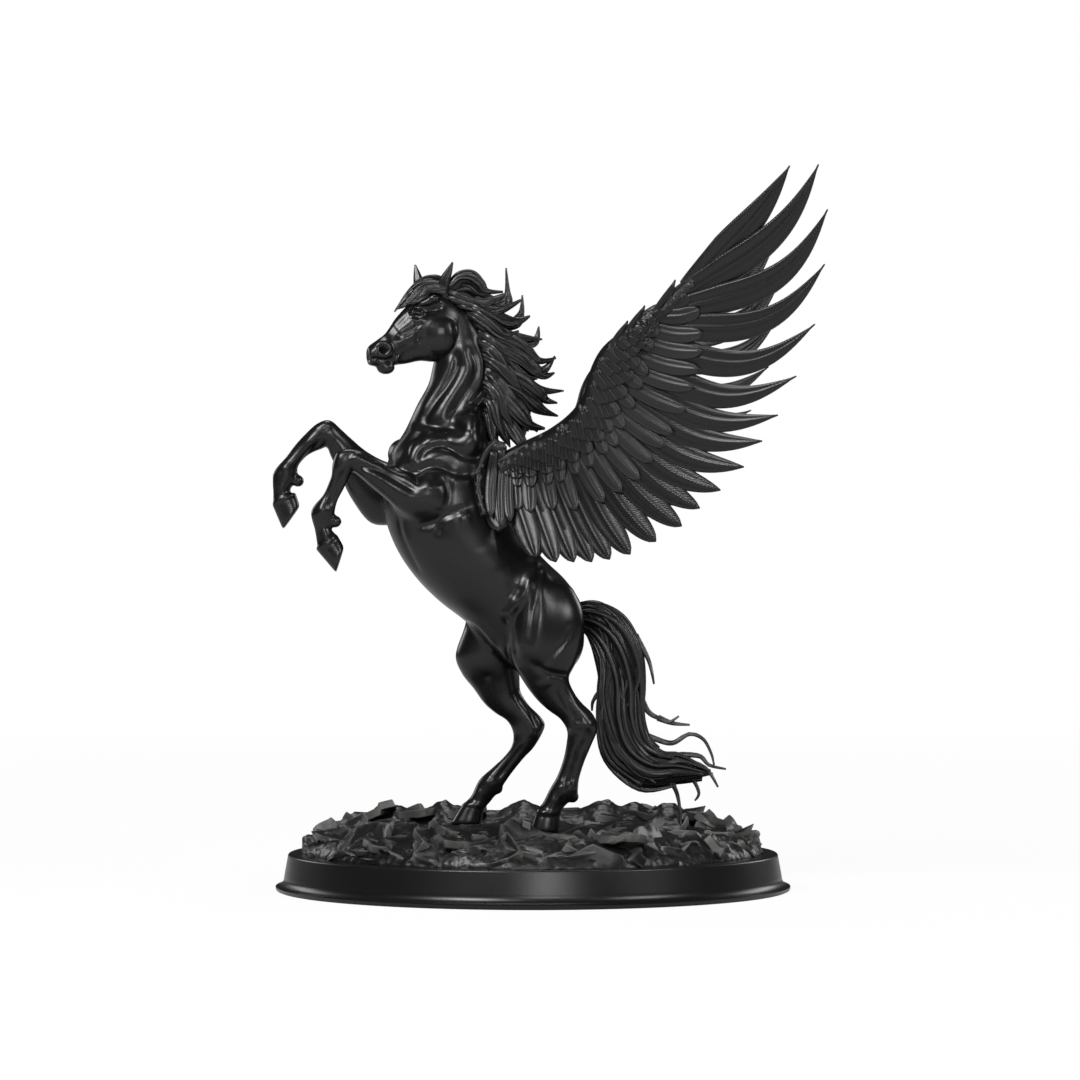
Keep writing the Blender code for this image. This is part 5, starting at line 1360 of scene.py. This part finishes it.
def addFlightFeathers(bm):
    look = wingLook
    for i, (tipX, tipZ, bend) in enumerate(flight):
        share = i / (len(flight) - 1)
        root = rowAt(arm, 0.97 - 0.93 * share**0.9)
        sharp = mix(1.0, 0.15, between(0.0, (share - 0.25) / 0.4, 1.0))
        halfWidth = look["flightHalfWidth"] * mix(1.0, 0.86, share)
        addFeather(bm, root, (tipX, tipZ), halfWidth, look["flightThickness"], sharp, bend, steps=34, mark=i)


def addCoverts(bm, face):
    for tips, halfWidth, thickness, lift in coverts:
        for i, tip in enumerate(tips):
            share = i / (len(tips) - 1)
            root = rowAt(arm, 0.9 - 0.88 * share)
            addFeather(bm, root, tip, halfWidth, thickness, bend=0.08 * (1 - share),
                       lift=(face * lift[0], face * lift[1]), mark=covertMark + i)


def addLesserCoverts(bm, face):
    look = wingLook
    for row in range(look["lesserRows"]):
        t = row / look["lesserRows"]
        lift = (face * mix(2.2, 3.2, t), face * mix(3.0, 4.0, t))
        for i in range(look["lesserPerRow"]):
            share = (i + 0.5 * (row % 2)) / look["lesserPerRow"]
            far = Vector(rowAt(medianTips, share))
            near = Vector(rowAt(arm, 0.86 - 0.84 * share))
            tip, root = near.lerp(far, mix(0.74, 0.2, t)), near.lerp(far, mix(0.32, -0.2, t))
            addFeather(bm, root, tip, look["lesserHalfWidth"], look["lesserThickness"], lift=lift, steps=9,
                       mark=covertMark + i + row)


def addArmBeads(bm, face):
    # small overlapping feathers that read as rough beads, three across the arm
    look = wingLook
    for i in range(look["armBeads"]):
        share = (i + 0.5) / look["armBeads"]
        x, z = rowAt(arm, mix(0.03, 0.97, share))
        for row in range(3):
            across = (0.5 - row * 0.55 + 0.16 * math.sin(i * 2.1 + row)) * mix(1.0, 0.5, share)
            place = wingPlace(x + across * look["armRadius"] * 0.3, z + across * look["armRadius"])
            place.y -= face * armRadius(share) * (0.86 - 0.3 * abs(across))
            size = mix(1.25, 0.8, share) * (0.7 + 0.6 * ((i * 5 + row * 3) % 4) / 4)
            place.x += 0.8 * math.sin(i * 4.3 + row * 2.0)
            place.z += 0.8 * math.cos(i * 3.1 + row * 1.3)
            addBead(bm, place, (size * 1.15, size * 0.7, size), 80 * math.sin(i * 1.7 + row))


def addRootSeam(bm):
    # a beaded strip in front of the plate that carries the root's feathers
    look = wingLook
    rows = [(*wingPlace(x, z), look["rootStripRadius"]) for x, z in rootStrip]
    addLock(bm, rows, flat=1.0, sides=16, ridges=3, depth=0.08)
    for i in range(look["rootBeads"]):
        x, z = rowAt(rootStrip, mix(0.3, 0.96, (i + 0.5) / look["rootBeads"]))
        size = 0.7 + 0.4 * abs(math.sin(i * 2.7))
        for face in (1, -1):
            place = wingPlace(x + 0.8 * math.sin(i * 2.4), z)
            place.y -= face * 1.3
            addBead(bm, place, (size * 1.3, size, size), 95 + 35 * math.sin(i * 1.9))
    addFeather(bm, *rootPlate, 5.4, 4.0, steps=20, section=plateSection)


def addEdges(bm, face):
    # the root's feathers, the strip along the leading edge and the pointed feathers on it
    for root, tip in rootFeathers:
        addFeather(bm, root, tip, 2.3, 1.9, bend=0.03, lift=(face * 2.0, face * 2.4), steps=12,
                   mark=covertMark)
    rows = []
    for i, (x, z) in enumerate(arm):
        shift = Vector((0.0, face * mix(2.6, 0.9, i / 9), -2.6 * mix(1.0, 0.4, i / 9)))
        rows.append((*(wingPlace(x, z) - shift), wingLook["edgeStripRadius"]))
    addLock(bm, rows, flat=1.0, sides=10, ridges=2, depth=0.03)
    for root, tip in leadingFeathers:
        addFeather(bm, root, tip, 1.9, 1.7, sharp=0.8, bend=0.04, lift=(face * 1.6, face * 1.2), steps=10,
                   mark=covertMark)


def buildNearWing():
    bm = bmesh.new()
    addArm(bm)
    addFlightFeathers(bm)
    for face in (1, -1):
        addCoverts(bm, face)
        addLesserCoverts(bm, face)
        addArmBeads(bm, face)
    addRootSeam(bm)
    for face in (1, -1):
        addEdges(bm, face)
    return bm


def buildWings():
    # the far wing is the near one mirrored, a little smaller and swung further back
    look = wingLook
    near = buildNearWing()
    pivot = Vector((look["shoulder"][0], look["rootY"], look["shoulder"][1]))
    place = (Matrix.Translation(pivot + Vector((0, 0, look["farRise"])))
             @ Matrix.Rotation(math.radians(look["farSwing"]), 4, "Z")
             @ Matrix.Rotation(math.radians(look["farPitch"]), 4, "Y")
             @ Matrix.Scale(look["farSize"], 4) @ Matrix.Translation(-pivot)
             @ Matrix.Scale(-1.0, 4, (0, 1, 0)))
    far = near.copy()
    bmesh.ops.transform(far, matrix=place, verts=far.verts[:])
    bmesh.ops.reverse_faces(far, faces=far.faces[:])
    return makePiece(near, "nearWing", ground), makePiece(far, "farWing", ground)


# the figurine

plainResin = resinMaterial("satinResin")
bodyResin = resinMaterial("polishedResin")
# the rock's high edges get the most of the lighter colour, partly as dry-brushed wear and partly as a painted
# highlight
rockResin = resinMaterial("brushedAndHighlitResin")
featherResin = resinMaterial("featherResin", barbRelief, featherTipsLighter)
hairResin = resinMaterial("hairResin", hairRelief)

finishPiece(buildPlinth(), plainResin, 30)
finishPiece(buildRock(), rockResin, 28)
finishPiece(buildBody(), bodyResin)
finishPiece(buildHead(), bodyResin)
finishPiece(buildMane(), hairResin)
finishPiece(buildTail(), hairResin)
for wing in buildWings():
    finishPiece(wing, featherResin)


# floor, light and camera

floorLook = {
    "halfSize": 6.0, "colour": (0.60, 0.60, 0.60), "roughness": 0.9, "shine": 0.1,
    "whiteNear": 0.93, "whiteFar": 1.0, "nearReach": 0.3, "farReach": 1.6,
}
lightLook = {
    "world": 0.03, "aim": (0.0, 0.0, 0.14),
    # place, size and power of each softbox, all aimed at the figurine
    "lamps": (
        ((-0.80, -1.20, 1.25), 0.60, 40.0),
        ((0.20, -1.75, 0.60), 0.40, 10.0),
        ((1.30, -0.90, 0.95), 0.60, 15.0),
        ((0.0, 0.5, 1.6), 0.70, 12.0),
        ((-1.0, 0.9, 0.5), 0.50, 3.0),
        ((1.0, 0.9, 0.5), 0.50, 4.0),
    ),
}
cameraLook = {"place": (0.0028, -1.775, 0.1396), "lens": 147.9, "sensorWidth": 36.0, "clip": (0.05, 50.0)}


def backdropShare(finish):
    # 1 for the rays that see the backdrop, straight or through glass, and 0 for those that light the figurine
    seen = finish.add("ShaderNodeLightPath")
    passed = Value(seen.socket.node.outputs["Is Transmission Ray"])
    return (seen + passed).clamped()


def buildFloor():
    look = floorLook
    bm = bmesh.new()
    bmesh.ops.create_grid(bm, x_segments=1, y_segments=1, size=look["halfSize"])
    mesh = bpy.data.meshes.new("paleFloor")
    bm.to_mesh(mesh)
    bm.free()
    floor = bpy.data.objects.new("paleFloor", mesh)
    bpy.context.scene.collection.objects.link(floor)
    material = bpy.data.materials.new("paleFloor")
    material.use_nodes = True
    tree = material.node_tree
    finish = Finish(tree)
    shader = tree.nodes["Principled BSDF"]
    shader.inputs["Base Color"].default_value = (*look["colour"], 1.0)
    shader.inputs["Roughness"].default_value = look["roughness"]
    shader.inputs["Specular IOR Level"].default_value = look["shine"]
    shown = backdropShare(finish)
    place = finish.add("ShaderNodeTexCoord", out=3)
    reach = finish.add("ShaderNodeVectorMath", {"operation": "LENGTH"}, {0: place}, out=1)
    away = ((reach - look["nearReach"]) * (1 / (look["farReach"] - look["nearReach"]))).clamped()
    white = away * (look["whiteFar"] - look["whiteNear"]) + look["whiteNear"]
    glow = finish.add("ShaderNodeEmission", values={"Color": (1, 1, 1, 1), "Strength": 1.0})
    blend = finish.add("ShaderNodeMixShader", values={0: shown * white, 2: glow})
    tree.links.new(shader.outputs[0], blend.socket.node.inputs[1])
    tree.links.new(blend.socket, tree.nodes["Material Output"].inputs["Surface"])
    mesh.materials.append(material)


def buildLight():
    look = lightLook
    world = bpy.data.worlds.new("studio")
    world.use_nodes = True
    bpy.context.scene.world = world
    tree = world.node_tree
    strength = backdropShare(Finish(tree)) * (1.0 - look["world"]) + look["world"]
    background = tree.nodes["Background"]
    background.inputs["Color"].default_value = (1, 1, 1, 1)
    tree.links.new(strength.socket, background.inputs["Strength"])
    for i, (place, size, power) in enumerate(look["lamps"]):
        lamp = bpy.data.lights.new(f"softbox{i}", "AREA")
        lamp.shape, lamp.size, lamp.energy = "SQUARE", size, power
        item = bpy.data.objects.new(f"softbox{i}", lamp)
        item.location = place
        aim = Vector(look["aim"]) - Vector(place)
        item.rotation_euler = aim.to_track_quat("-Z", "Y").to_euler()
        bpy.context.scene.collection.objects.link(item)


def buildCamera():
    look = cameraLook
    camera = bpy.data.cameras.new("camera")
    camera.sensor_width, camera.lens = look["sensorWidth"], look["lens"]
    camera.clip_start, camera.clip_end = look["clip"]
    item = bpy.data.objects.new("camera", camera)
    item.location = look["place"]
    item.rotation_euler = (math.radians(90), 0, 0)
    bpy.context.scene.collection.objects.link(item)
    bpy.context.scene.camera = item


buildFloor()
buildLight()
buildCamera()
print("floor, light and camera are set")
bpy.context.scene.view_settings.view_transform = "Standard"
